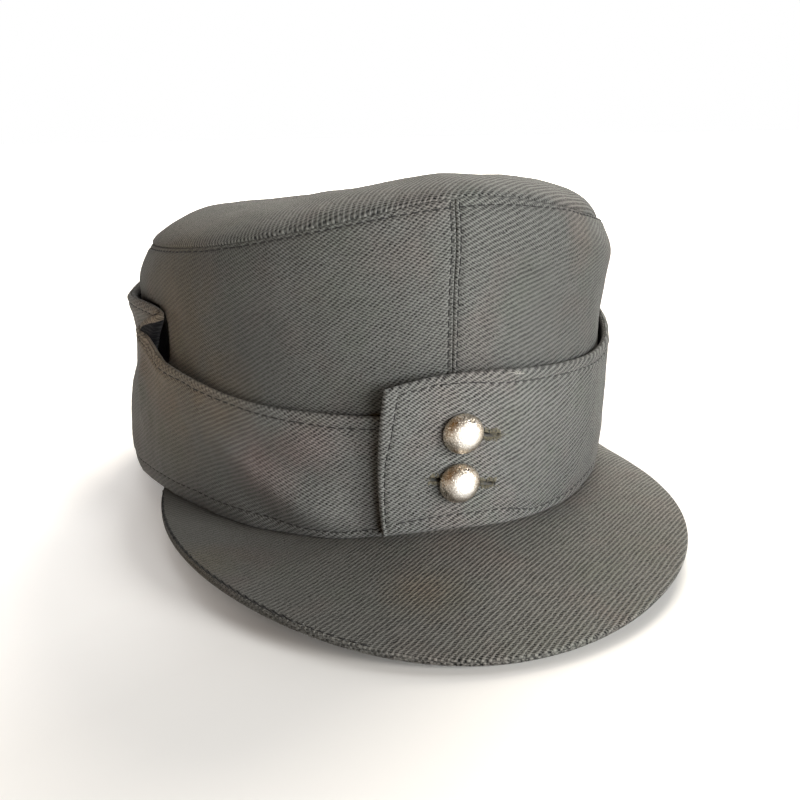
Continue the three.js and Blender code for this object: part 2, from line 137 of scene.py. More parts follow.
@dataclass(frozen=True)
class CapForm:
    """The cap's main surfaces. Angles go from 0 at the centre front towards the wearer's left."""

    gap: float = 0.3
    flap_gap: float = 0.5
    crown_wall: float = 2.0
    flap_wall: float = 2.5
    peak_wall: float = 1.6
    peak_tip_wall: float = 1.0
    tilt: float = 3.0
    sink: float = 0.4
    origin: tuple[float, float] = (-3.35, -24.92)
    rim: Oval = Oval(89.2, 98.7)
    seam: Oval = Oval(82.1, 100.5, -1.1)
    seam_front: float = 96.2
    seam_back: float = 74.7
    rim_lobes: tuple[Lobe, ...] = (
        Lobe(2, -2.4, 0.0),
        Lobe(3, 1.2, 0.2),
        Lobe(4, 1.3, -0.3),
        Lobe(5, -0.2, -0.2),
    )
    rim_waves: tuple[Lobe, ...] = (Lobe(2, -0.4, 0.0), Lobe(3, -0.4, 0.2), Lobe(5, 1.2, -0.4))
    rim_press: Bump = Bump(88, 28, 6.6)
    front_recess: Bump = Bump(0, 22, 1.4)
    seam_crest: Bump = Bump(4, 17, 2.1)
    seam_lobes: tuple[Lobe, ...] = (Lobe(2, 0.6, 0.0),)
    seam_waves: tuple[Lobe, ...] = (Lobe(2, 1.6, 1.5), Lobe(3, 1.3, 0.3), Lobe(4, 0.6, 0.0))
    swell_front: float = 0.6
    swell_right: float = 3.2
    swell_left: float = 2.2
    swell_flatness: float = 6.0
    shoulder: Bump = Bump(52, 34, 1.8)
    shoulder_rest: float = 1.4
    shoulder_at: float = 0.9
    shoulder_height: float = 0.1
    shoulder_edge: float = 0.6
    dome_height: float = 16.2
    dome_left: float = 5.2
    dome_back: float = 3.0
    dome_sides: float = 2.8
    dome_squareness: float = 3.9
    dome_edge: float = 0.66
    seam_bite: float = 0.12

    def rim_height(self, t: Array) -> Array:
        """Height of the cap's bottom edge at angles t."""
        return lobes(self.rim_waves, t)

    def rim_point(self, t: Array, height: Array, inset: Array) -> Array:
        """Points of the rim's own line, moved in by an inset."""
        return self.rim.point(t, height, lobes(self.rim_lobes, t) - self.rim_press.at(t) - inset)

    def crown_foot(self, t: Array) -> Array:
        """The crown's outer face at its bottom edge."""
        return self.rim_point(t, self.rim_height(t), self.flap_wall + self.gap + self.front_recess.at(t))

    def seam_wave(self, t: Array) -> Array:
        """How far the seam stands above its even slope from front to back."""
        return lobes(self.seam_waves, t) + self.seam_crest.at(t)

    def slope(self, along: Array) -> Array:
        """Height of the seam's even slope, from its front at 0 to its back at 1."""
        return self.seam_front + (self.seam_back - self.seam_front) * along

    def seam_point(self, t: Array) -> Array:
        """The seam between the crown's side and its top panel."""
        level = self.slope((1 - np.cos(t)) / 2)
        return self.seam.point(t, level + self.seam_wave(t), lobes(self.seam_lobes, t))

    def outward(self, t: Array) -> Array:
        """Unit directions straight out of the cap at angles t."""
        across, ahead = np.sin(t) / self.rim.half_width, -np.cos(t) / self.rim.half_length
        return unit(np.stack([across, ahead, 0 * t], axis=-1))

    def crown_face(self, t: Array, up: Array) -> Array:
        """The crown's outer face: up is 0 at the bottom edge and 1 at the seam."""
        side = np.where(t < 0, self.swell_right, self.swell_left)
        swell = self.swell_front + (side - self.swell_front) * np.sin(t) ** 2
        swell = swell * (1 - np.abs(2 * up - 1) ** self.swell_flatness)
        belt = ridge(up - self.shoulder_at, self.shoulder_height)
        roll = belt * (np.maximum(1 - up, 0) / (1 - self.shoulder_at)) ** self.shoulder_edge
        out = swell + roll * (self.shoulder_rest + self.shoulder.at(t))
        foot, top = self.crown_foot(t), self.seam_point(t)
        return foot + (top - foot) * up[..., None] + self.outward(t) * out[..., None]

    def crown_at_height(self, t: Array, height: Array) -> Array:
        """The crown's outer face at heights instead."""
        foot = self.rim_height(t)
        return self.crown_face(t, (height - foot) / (self.seam_point(t)[..., 2] - foot))

    def dome_point(self, t: Array, reach: Array) -> Array:
        """The domed top panel: reach is 0 at its middle and 1 at the seam."""
        seam = self.seam_point(t)
        x = seam[..., 0] * reach
        y = self.seam.back + (seam[..., 1] - self.seam.back) * reach
        along = (y - self.seam.back + self.seam.half_length) / (2 * self.seam.half_length)
        level = self.slope(along) + self.seam_wave(t) * reach**2
        across = x / self.seam.half_width
        behind = (y - self.seam.back) / self.seam.half_length
        rise = self.dome_height + self.dome_left * across + self.dome_back * behind
        rise = rise + self.dome_sides * across**2
        lift = rise * np.maximum(1 - reach**self.dome_squareness, 0) ** self.dome_edge
        return np.stack([x, y, level + lift - self.seam_bite], axis=-1)

    def turn_back(self, ways: Array) -> Array:
        """Directions of the level frame turned as the cap lies."""
        c, s = math.cos(math.radians(self.tilt)), math.sin(math.radians(self.tilt))
        x, y, z = ways[..., 0], ways[..., 1], ways[..., 2]
        return np.stack([x, y * c + z * s, z * c - y * s], axis=-1)

    def rest(self, points: Array) -> Array:
        """Points of the level frame as the cap lies, in metres.

        Args:
            points: Points in the level frame, in millimetres.

        Returns:
            The points tipped back on the rear rim, flattened where they meet the surface.
        """
        pivot = np.array([0.0, self.rim.half_length, 0.0])
        lying = self.turn_back(points - pivot) + pivot
        lying = lying - np.array([self.origin[0], self.origin[1], self.sink])
        lying[..., 2] = np.maximum(lying[..., 2], 0.0)
        return lying * MM


FORM = CapForm()


# Cloth sheets


class Side(Enum):
    """The two faces of a sheet of cloth."""

    OUTER = 1
    INNER = -1


@dataclass(frozen=True)
class Dent:
    """A hollow with rounded corners pressed into a sheet, in millimetres.

    low and high are its corners, as an angle and a height. wall is the share of the way out
    from its middle where its steep border starts.
    """

    low: tuple[float, float]
    high: tuple[float, float]
    depth: float
    wall: float = 0.72
    roundness: float = 3.2

    def laid_on(self, sheet: "Sheet") -> "Dent":
        """The same dent in places of the flat sheet."""
        return replace(self, low=sheet.place(*self.low), high=sheet.place(*self.high))

    def at(self, a: Array, d: Array) -> Array:
        """How deep the sheet is pressed in at places of the flat sheet, below zero."""
        middle, half = np.add(self.low, self.high) / 2, np.subtract(self.high, self.low) / 2
        across = np.abs((a - middle[0]) / half[0]) ** self.roundness
        up = np.abs((d - middle[1]) / half[1]) ** self.roundness
        away = (across + up) ** (1 / self.roundness)
        return -self.depth * eased((1 - away) / (1 - self.wall))


@dataclass(frozen=True)
class Fold:
    """A soft fold, below zero a furrow, from one place of a sheet to another.

    Its places are an angle in degrees and a height in millimetres, or are in plan.
    """

    start: tuple[float, float]
    end: tuple[float, float]
    width: float
    height: float

    def laid_on(self, sheet: "Sheet") -> "Fold":
        """The same fold in places of the flat sheet."""
        return replace(self, start=sheet.place(*self.start), end=sheet.place(*self.end))

    def at(self, a: Array, d: Array) -> Array:
        """How far the fold lifts the cloth at places of the flat sheet."""
        run = np.subtract(self.end, self.start)
        share = ((a - self.start[0]) * run[0] + (d - self.start[1]) * run[1]) / float(run @ run)
        near = np.clip(share, 0, 1)
        off = np.hypot(a - self.start[0] - near * run[0], d - self.start[1] - near * run[1])
        return self.height * ridge(off, self.width) * (0.35 + 0.65 * np.sin(math.pi * near))


def smooth_noise(a: Array, d: Array, size: float, seed: int) -> Array:
    """Even waves without a pattern, from -1 to 1, for cloth that is never quite flat.

    Args:
        a: Places along a sheet.
        d: Places up the sheet.
        size: Usual distance between two crests.
        seed: Seed of the waves' directions.

    Returns:
        The height at each place.
    """
    draw = np.random.default_rng(seed)
    total = np.zeros(np.broadcast(a, d).shape)
    waves = 9
    for _ in range(waves):
        way = draw.uniform(0, TAU)
        length = size * draw.uniform(0.7, 1.6)
        total += np.sin((a * math.cos(way) + d * math.sin(way)) * TAU / length + draw.uniform(0, TAU))
    return total / math.sqrt(waves * 2)


def edge_rows(radius: float, marks: Sequence[float]) -> Array:
    """Distances from a sheet's edge that are close where it is rounded and at its stitches."""
    rounded = radius * np.array([0.0, 0.03, 0.12, 0.28, 0.5, 0.75, 1.0])
    return np.concatenate([rounded, [mark for mark in marks if mark > radius]])


class Sheet:
    """One sheet of cloth as a thin closed body.

    A place on the flat sheet is (a, d): a along it and d up it, in millimetres. Where ring is
    set, its last column joins its first. waves holds the height, size and seed of each part of
    its unevenness, and ribs pairs of an angle round the cap and its ribs' slant there. thinnest
    is the square of the least share of its thickness that its rounded edge has, and its inner
    face is marked by hidden_shift beyond turned_edge, where a finish can lay painted shade.
    Its area is given as no more than most_filled of its flat rectangle.
    """

    name: str = "sheet"
    wall: float = 2.0
    inward: float = 0.0
    seed: int = 0
    ring: bool = False
    folds: tuple["Fold | Dent", ...] = ()
    waves: tuple[tuple[float, float, int], ...] = ()
    ribs: tuple[tuple[float, float], ...] = ()
    rib_angle: float = 31.0
    normal_step: float = 0.4
    thinnest: float = 0.0004
    turned_edge: float = 2.0
    hidden_shift: float = 2000.0
    most_filled: float = 0.999
    flat_size: tuple[float, float, float] = (0.0, 0.0, 0.0)

    def middle(self, a: Array, d: Array) -> Array:
        """Points across the middle of the sheet's thickness in the level frame."""
        raise NotImplementedError

    def place_of(self, angle: float) -> float:
        """The place along the sheet at an angle in degrees."""
        raise NotImplementedError

    def place(self, angle: float, height: float) -> tuple[float, float]:
        """The place on the flat sheet at an angle and a height."""
        raise NotImplementedError

    def rib_shift(self, a: Array) -> Array:
        """How far the cloth is skewed up the sheet, so that its ribs turn as the table says."""
        if not self.ribs:
            return 0 * a
        line = np.linspace(float(np.min(a)), float(np.max(a)), 500)
        places = [self.place_of(angle) for angle, _ in self.ribs]
        slopes = np.interp(line, places, [math.tan(math.radians(rib)) for _, rib in self.ribs])
        steps = (math.tan(math.radians(self.rib_angle)) - slopes) * (line[1] - line[0])
        return np.interp(a, line, np.cumsum(steps))

    def edge_distance(self, a: Array, d: Array) -> Array:
        """Distance of each place from the nearest edge of the sheet."""
        raise NotImplementedError

    def guide(self, a: Array, d: Array) -> Array:
        """Directions that point out of the cap at each place."""
        raise NotImplementedError

    def grid(self) -> tuple[Array, Array]:
        """The places of the sheet's mesh, as columns and rows."""
        raise NotImplementedError

    def relief(self, a: Array, d: Array) -> Array:
        """How far the outer face stands out of the even sheet."""
        return np.zeros(np.broadcast(a, d).shape)

    def unevenness(self, a: Array, d: Array) -> Array:
        """Cloth that is never quite flat."""
        total = np.zeros(np.broadcast(a, d).shape)
        for height, size, seed in self.waves:
            total = total + height * smooth_noise(a, d, size, self.seed + seed)
        return total

    def folded(self, a: Array, d: Array) -> Array:
        """The sum of all folds at places of the flat sheet or in plan."""
        return sum((fold.at(a, d) for fold in self.folds), np.zeros(np.broadcast(a, d).shape))

    def lift(self, a: Array, d: Array) -> Array:
        """How far folds carry the whole sheet out of its place."""
        return self.folded(a, d)

    def flat_place(self, a: Array, d: Array, points: Array) -> Array:
        """Where each place lies on the cloth before it was sewn, in millimetres."""
        return np.stack(np.broadcast_arrays(a, d + self.rib_shift(a)), axis=-1)

    def weave_place(self, flat: Array) -> Array:
        """Where the weave lies for places on the flat cloth."""
        return flat

    def thickness(self, a: Array, d: Array) -> Array:
        """The cloth's thickness at each place."""
        return np.full(np.broadcast(a, d).shape, self.wall)

    def slope_normal(self, a: Array, d: Array) -> Array:
        """Unit normals across the middle's slopes along and up the sheet."""
        step = self.normal_step
        along = self.middle(a + step, d) - self.middle(a - step, d)
        up = self.middle(a, d + step) - self.middle(a, d - step)
        return unit(np.cross(along, up))

    def normal(self, a: Array, d: Array) -> Array:
        """Unit normals of the sheet's middle, out of the cap."""
        normal = self.slope_normal(a, d)
        flip = (normal * self.guide(a, d)).sum(-1, keepdims=True) < 0
        return np.where(flip, -normal, normal)

    def face(self, a: Array, d: Array, side: Side = Side.OUTER) -> tuple[Array, Array]:
        """Points and normals of one face as the cap lies.

        Args:
            a: Places along the sheet.
            d: Places up the sheet.
            side: Which face.

        Returns:
            The points in metres and their unit normals.
        """
        normal = self.normal(a, d)
        radius = self.thickness(a, d) / 2
        near = np.clip(self.edge_distance(a, d) / radius, 0.0, 1.0)
        half = radius * np.sqrt(np.maximum(1 - (1 - near) ** 2, self.thinnest))
        out = side.value * half + self.lift(a, d) - self.inward
        if side is Side.OUTER:
            out = out + self.relief(a, d) * near
        points = self.middle(a, d) + normal * out[..., None]
        return FORM.rest(points), FORM.turn_back(normal) * side.value

    def build(self, finish: "Finish") -> Piece:
        """The sheet's closed mesh, dressed in its finish."""
        a, d = self.grid()
        outer, inner = (self.face(a, d, side)[0] for side in Side)
        layer = a.size
        index = np.arange(layer).reshape(a.shape)
        if self.ring:
            index = np.concatenate([index, index[:1]], axis=0)
        corners = [index[:-1, :-1], index[1:, :-1], index[1:, 1:], index[:-1, 1:]]
        front = np.stack(corners, axis=-1).reshape(-1, 4)
        borders = [index[:, 0][::-1], index[:, -1]]
        if not self.ring:
            borders += [index[0], index[-1][::-1]]
        walls = [self._border(line, layer) for line in borders]
        faces = np.concatenate([front, front[:, ::-1] + layer, *walls])
        points = np.concatenate([outer.reshape(-1, 3), inner.reshape(-1, 3)])
        if signed_volume(points, faces) < 0:
            faces = faces[:, ::-1]
        flat = self.flat_place(a, d, outer)
        woven = self.weave_place(flat)
        # Marks the inner face away from its edges, where the finish lays painted shade.
        hidden = np.where(self.edge_distance(a, d) > self.turned_edge, self.hidden_shift, 0.0)
        behind = woven * [-1, 1] - hidden[..., None] * [1, 0]
        places = np.concatenate([woven.reshape(-1, 2), behind.reshape(-1, 2)])
        size = (np.ptp(a), np.ptp(d)) if self.ribs else np.ptp(flat.reshape(-1, 2), axis=0)
        width, length = (float(side) * MM for side in size)
        area = float(polygon_areas(points, front).sum())
        self.flat_size = (width, length, min(area, self.most_filled * width * length))
        return mesh_piece(self.name, points, faces, places, finish)

    @staticmethod
    def _border(line: Array, layer: int) -> Array:
        """Faces that join the two faces of a sheet along one edge."""
        return np.stack([line[1:], line[:-1], line[:-1] + layer, line[1:] + layer], axis=-1)


def signed_volume(points: Array, faces: Array) -> float:
    """Volume of a closed mesh, below zero where its faces point in."""
    a, b, c, d = (points[faces[:, k]] for k in range(4))
    return float((a * np.cross(b, c)).sum() + (a * np.cross(c, d)).sum())


def polygon_areas(points: Array, faces: Array) -> Array:
    """Areas of four-sided faces."""
    a, b, c, d = (points[faces[:, k]] for k in range(4))
    halves = (np.linalg.norm(np.cross(p - a, q - a), axis=1) for p, q in ((b, c), (c, d)))
    return sum(halves) / 2


def placed(name: str, data: bpy.types.ID) -> Piece:
    """A new object in the scene."""
    piece = bpy.data.objects.new(name, data)
    bpy.context.scene.collection.objects.link(piece)
    return piece


def mesh_piece(
    name: str,
    points: Array,
    faces: Array,
    places: Optional[Array] = None,
    finish: Optional["Finish"] = None,
) -> Piece:
    """A smooth mesh object, with its places on the flat cloth as a map.

    Args:
        name: The piece's name.
        points: Corners in metres.
        faces: Corner numbers of each face.
        places: Place of each corner on the flat cloth, in millimetres.
        finish: The piece's look.

    Returns:
        The object, in the scene.
    """
    mesh = bpy.data.meshes.new(name)
    mesh.from_pydata(points.tolist(), [], faces.tolist())
    if places is not None:
        corners = np.empty(len(mesh.loops), np.int32)
        mesh.loops.foreach_get("vertex_index", corners)
        layer = mesh.uv_layers.new(name="cloth")
        layer.uv.foreach_set("vector", places[corners].astype(np.float32).ravel())
    mesh.shade_smooth()
    mesh.update()
    if finish is not None:
        mesh.materials.append(finish.material())
    return placed(name, mesh)


def spread_rows(lengths: Array, ends: Array, step: float, far_ends: Optional[Array] = None) -> Array:
    """Places up each column that are close at both edges and even in between.

    Args:
        lengths: Each column's length.
        ends: Distances from the first edge.
        step: Distance between rows in the middle.
        far_ends: Distances from the far edge, the same as ends if left out.

    Returns:
        The places, a row of numbers for each column.
    """
    far = ends if far_ends is None else far_ends
    count = max(2, round(float(np.mean(lengths) - ends[-1] - far[-1]) / step))
    share = np.linspace(0, 1, count + 1)[1:-1]
    start = np.broadcast_to(ends, (len(lengths), len(ends)))
    stop = lengths[:, None] - far[::-1]
    between = ends[-1] + (lengths[:, None] - far[-1] - ends[-1]) * share
    return np.concatenate([start, between, stop], axis=1)


class Strip(Sheet):
    """A sheet that runs along the cap, and is measured at samples along and up it."""

    samples: tuple[int, int] = (720, 60)
    arcs: Array
    lengths: Array

    def measure(self, line: Array, columns: Array) -> None:
        """Sets the distances along a line of points and the lengths of columns of points."""
        self.arcs = arc_lengths(line)
        self.lengths = np.linalg.norm(np.diff(columns, axis=1), axis=2).sum(1)

    def length_at(self, a: Array) -> Array:
        """The sheet's length up at places along it."""
        return np.interp(a, self.arcs, self.lengths)

    def edge_distance(self, a: Array, d: Array) -> Array:
        """Distance from the nearest of the four edges."""
        ends = np.minimum(a - self.arcs[0], self.arcs[-1] - a)
        return np.minimum(np.minimum(d, self.length_at(a) - d), ends)


class CrownSide(Strip):
    """One half of the crown's side, from the centre front to the centre back."""

    wall = FORM.crown_wall
    waves = ((0.18, 17, 5), (0.06, 5, 0))
    step: float = 1.5
    front_stitch: float = 1.4

    def __init__(self, name: str, start: float, end: float, folds: Sequence["Fold | Dent"] = ()) -> None:
        """Sets the half's name, its first and last angle in degrees, and its folds."""
        self.name = name
        self.inward = self.wall / 2
        count, ups = self.samples
        self.angles = np.radians(np.linspace(start, end, count))
        half_up = FORM.crown_face(self.angles, np.full(count, 0.5))
        shares = np.broadcast_to(np.linspace(0, 1, ups), (count, ups))
        self.measure(half_up, FORM.crown_face(self.angles[:, None], shares))
        if start < 0:
            self.arcs = self.arcs - self.arcs[-1]
        self.folds = tuple(fold.laid_on(self) for fold in folds)

    def place_of(self, angle: float) -> float:
        """The place along the sheet at an angle in degrees."""
        return float(np.interp(math.radians(angle), self.angles, self.arcs))

    def place(self, angle: float, height: float) -> tuple[float, float]:
        """The place on the flat sheet at an angle and a height."""
        t = np.array(math.radians(angle))
        foot, top = float(FORM.rim_height(t)), float(FORM.seam_point(t)[2])
        length = float(self.length_at(np.array(self.place_of(angle))))
        return self.place_of(angle), length * (height - foot) / (top - foot)

    def middle(self, a: Array, d: Array) -> Array:
        """The crown's outer face, which the wall lies inside of."""
        over = a - np.clip(a, self.arcs[0], self.arcs[-1])
        pace = (self.angles[-1] - self.angles[0]) / (self.arcs[-1] - self.arcs[0])
        t = np.interp(a, self.arcs, self.angles) + over * pace
        return FORM.crown_face(t, d / self.length_at(a))

    def guide(self, a: Array, d: Array) -> Array:
        """Straight out of the cap."""
        return FORM.outward(np.interp(a, self.arcs, self.angles) + 0 * d)

    def seam_stitch_depth(self, a: Array) -> Array:
        """Distance of the topstitch below the seam with the top panel."""
        t = np.degrees(np.interp(a, self.arcs, self.angles))
        return 1.3 + 1.3 * ridge(t - 3, 15) - 0.5 * np.clip((t - 20) / 10, 0, 1)

    def relief(self, a: Array, d: Array) -> Array:
        """Furrows at the topstitches, and cloth that is never quite flat."""
        below = self.length_at(a) - d
        furrow = -0.5 * ridge(below - self.seam_stitch_depth(a), 0.6)
        centre = np.minimum(np.abs(a - self.arcs[0]), np.abs(self.arcs[-1] - a))
        furrow = furrow - 0.45 * ridge(centre - self.front_stitch, 0.5)
        return furrow + self.unevenness(a, d)

    def grid(self) -> tuple[Array, Array]:
        """Columns close at the centre seams, and rows close at the top seam."""
        ends = edge_rows(self.wall / 2, (1.3, 1.7, 2.3, 3.2))
        total = float(self.arcs[-1] - self.arcs[0])
        along = spread_rows(np.array([total]), ends, self.step)[0] + self.arcs[0]
        top = edge_rows(self.wall / 2, (1.3, 1.6, 2.0, 2.4, 2.8, 3.3, 4.2))
        up = spread_rows(self.length_at(along), edge_rows(self.wall / 2, (2.0,)), self.step, top)
        return in_columns(along, up)


class CrownTop(Sheet):
    """The domed top panel. A place on it is its angle in degrees and its distance from the seam.

    Its mesh ends a little way, pole, before its middle. Its weave keeps rib_angle on the
    wearer's left and is turned by pull more to the right of pull_start, over pull_width, about
    a line at pull_front and as deep as pull_depth.
    """

    name = "crown_top_cloth"
    wall = FORM.crown_wall
    waves = ((0.22, 21, 31), (0.05, 6, 32))
    ring = True
    normal_step = 0.5
    reach_step: float = 0.002
    least_reach: float = 0.01
    pole: float = 0.05
    columns: int = 336
    rings: int = 54
    samples: int = 400
    rib_angle = 45.0
    pull: float = 31.0
    pull_start: float = 5.0
    pull_width: float = 42.0
    pull_front: float = 98.0
    pull_depth: float = 25.0

    def __init__(self, folds: Sequence[Fold] = ()) -> None:
        """Works out how far each ring lies from the seam, along the dome."""
        self.folds = tuple(folds)
        self.inward = self.wall / 2
        self.turns = np.radians(np.linspace(-180, 180, self.columns + 1))
        self.reaches = 1 - np.linspace(0, 1, self.samples) ** 2.5
        shares = np.broadcast_to(self.reaches, (len(self.turns), self.samples))
        steps = np.linalg.norm(np.diff(FORM.dome_point(self.turns[:, None], shares), axis=1), axis=2)
        self.depths = np.concatenate([np.zeros((len(self.turns), 1)), np.cumsum(steps, axis=1)], axis=1)

    def reach(self, a: Array, d: Array) -> Array:
        """Share of the way from the middle to the seam."""
        places = (np.radians(a) - self.turns[0]) / (self.turns[1] - self.turns[0])
        row = np.clip(np.round(places).astype(int), 0, self.columns)
        shape = np.broadcast(a, d).shape
        row, depth = np.broadcast_to(row, shape), np.broadcast_to(d, shape)
        found = np.empty(shape)
        for k in np.unique(row):
            mine = row == k
            found[mine] = np.interp(depth[mine], self.depths[k], self.reaches)
        return found

    def middle(self, a: Array, d: Array) -> Array:
        """The dome's outer face, which the wall lies inside of."""
        return FORM.dome_point(np.radians(a) + 0 * d, self.reach(a, d))

    def normal(self, a: Array, d: Array) -> Array:
        """Unit normals of the dome, straight out at the seam."""
        t, reach = np.radians(a) + 0 * d, self.reach(a, d)
        near, far = np.minimum(reach + self.reach_step, 1.0), np.maximum(reach - self.reach_step, 0.0)
        step = math.radians(self.normal_step)
        safe = np.maximum(reach, self.least_reach)
        along = FORM.dome_point(t + step, safe) - FORM.dome_point(t - step, safe)
        inward = FORM.dome_point(t, far) - FORM.dome_point(t, near)
        normal = unit(np.cross(along, inward))
        return np.where(normal[..., 2:] < 0, -normal, normal)

    def edge_distance(self, a: Array, d: Array) -> Array:
        """Distance from the seam."""
        return d + 0 * a

    def relief(self, a: Array, d: Array) -> Array:
        """Cloth that is never quite flat."""
        t = np.radians(a)
        return self.unevenness((90 - d) * np.sin(t), (90 - d) * np.cos(t))

    def lift(self, a: Array, d: Array) -> Array:
        """Folds, given by their places in plan."""
        reach = self.reach(a, d)
        seam = FORM.seam_point(np.radians(a) + 0 * d)
        return self.folded(seam[..., 0] * reach, seam[..., 1] * reach) * np.clip(d / 3, 0, 1)

    def flat_place(self, a: Array, d: Array, points: Array) -> Array:
        """Places on the flat oval that the dome was cut from."""
        seam = FORM.seam_point(np.radians(a) + 0 * d)
        return unit(seam[..., :2]) * (self.depths[: self.columns, -1:] - d)[..., None]

    def weave_place(self, flat: Array) -> Array:
        """The weave, pulled round over the front and the wearer's right.

        Args:
            flat: Places on the flat oval, in millimetres.

        Returns:
            Places that put the ribs at rib_angle on one side and steeper on the other.
        """
        x, back = flat[..., 0], flat[..., 1] + self.pull_front
        line = np.linspace(-110, 110, 881)
        share = eased((self.pull_start - line) / self.pull_width)
        lean = np.radians(self.rib_angle + self.pull * share)
        even = math.radians(self.rib_angle)
        drift = np.interp(x, line, np.cumsum(np.sin(lean)) * (line[1] - line[0]))
        tilt = np.interp(x, line, np.cos(lean)) - math.cos(even)
        fade = self.pull_depth * np.tanh(back / self.pull_depth)
        up = (tilt * fade - drift + math.cos(even) * back + math.sin(even) * x) / math.cos(even)
        return np.stack([x, up], axis=-1)

    def grid(self) -> tuple[Array, Array]:
        """Rings close at the seam."""
        a = np.degrees(self.turns[:-1])
        ends = edge_rows(self.wall / 2, (1.4, 1.9, 2.6, 3.5, 4.6, 6.0))
        share = np.linspace(0, 1, self.rings - len(ends) + 1)[1:]
        totals = self.depths[:-1, -1:] - self.pole
        inner = ends[-1] + (totals - ends[-1]) * share
        d = np.concatenate([np.broadcast_to(ends, (len(a), len(ends))), inner], axis=1)
        return in_columns(a, d)


@dataclass(frozen=True)
class FlapRow:
    """One place along a flap: angles in degrees and sizes in millimetres.

    foot and tip are the angles at the bottom and top edge and height is the top edge's above
    the rim. bow bends the middle round, hem lifts the bottom edge, stand and lift move the
    bottom and top edge off the crown, and belly bulges the middle.
    """

    foot: float
    tip: float
    height: float
    bow: float = 0.0
    hem: float = 0.0
    stand: float = 0.0
    lift: float = 0.0
    belly: float = 0.0


FLAP_RIGHT = (
    FlapRow(-179.8, -179.8, 64.0, lift=0.2, belly=0.2),
    FlapRow(-165, -165, 64.4, lift=0.4, belly=0.3),
    FlapRow(-148, -148, 65.8, lift=0.6, belly=0.5),
    FlapRow(-130, -129, 68.0, lift=0.8, belly=0.7),
    FlapRow(-112, -110, 68.4, lift=1.2, belly=0.2),
    FlapRow(-101, -98, 67.4, lift=0.9),
    FlapRow(-94.5, -88, 67.4, lift=1.9),
    FlapRow(-89, -78.5, 67.8, lift=1.6),
    FlapRow(-85, -71.8, 67.1, lift=0.35),
    FlapRow(-82.6, -68.1, 66.3, lift=0.35),
    FlapRow(-81, -67.4, 65.2, lift=0.9),
    FlapRow(-79.4, -69.1, 64.2, lift=2.1),
    FlapRow(-77.8, -71.2, 62.7, lift=3.3),
    FlapRow(-75.8, -72.2, 60.6, lift=4.3),
    FlapRow(-73.8, -70.8, 58.4, lift=4.2),
    FlapRow(-71.5, -68.8, 55.0, lift=3.3),
    FlapRow(-68.4, -66.6, 52.0, lift=2.8, belly=0.4),
    FlapRow(-64, -64, 49.8, lift=2.5, belly=0.4),
    FlapRow(-56, -56, 46.6, lift=1.6, belly=0.4),
    FlapRow(-47, -47, 43.0, lift=0.5, belly=0.5),
    FlapRow(-37, -37, 41.0, lift=0.2, belly=0.7),
    FlapRow(-27, -27, 40.2, lift=0.2, belly=1.2),
    FlapRow(-17, -17, 39.4, lift=0.1, belly=0.4),
    FlapRow(-7, -7, 38.8),
    FlapRow(3, 3, 38.6),
    FlapRow(10, 10, 38.4),
)

FLAP_LEFT = (
    FlapRow(-14.3, -13.9, 49.3, bow=-0.9, hem=1.8, stand=4.5, lift=6.9, belly=1.2),
    FlapRow(-10, -9.6, 50.6, bow=-0.5, hem=1.7, stand=3.5, lift=5.0, belly=0.5),
    FlapRow(-4, -4, 51.7, bow=-0.2, hem=1.5, stand=2.8, lift=3.2),
    FlapRow(2, 2, 52.0, hem=1.2, stand=2.8, lift=2.9),
    FlapRow(8, 8, 51.7, hem=0.9, stand=2.8, lift=2.8),
    FlapRow(13, 13, 50.9, hem=0.6, stand=2.4, lift=2.2, belly=0.2),
    FlapRow(20, 20, 49.8, hem=0.3, stand=1.2, lift=1.0, belly=0.3),
    FlapRow(29, 29, 48.8, stand=0.3, lift=0.3, belly=0.4),
    FlapRow(39, 39, 48.1, lift=0.3, belly=0.5),
    FlapRow(47, 47, 48.3, lift=0.6, belly=0.3),
    FlapRow(54, 53, 49.8, lift=1.2),
    FlapRow(61, 59, 51.6, lift=0.9),
    FlapRow(68, 66, 54.2, lift=0.5),
    FlapRow(75, 73, 56.6, lift=0.3),
    FlapRow(84, 82, 60.6, lift=0.4),
    FlapRow(95, 94, 64.2, lift=0.4, belly=0.2),
    FlapRow(108, 107, 66.6, lift=0.7, belly=0.5),
    FlapRow(124, 124, 67.2, lift=0.7, belly=0.7),
    FlapRow(143, 143, 66.2, lift=0.6, belly=0.5),
    FlapRow(162, 162, 64.6, lift=0.4, belly=0.3),
    FlapRow(179.8, 179.8, 64.0, lift=0.2, belly=0.2),
)


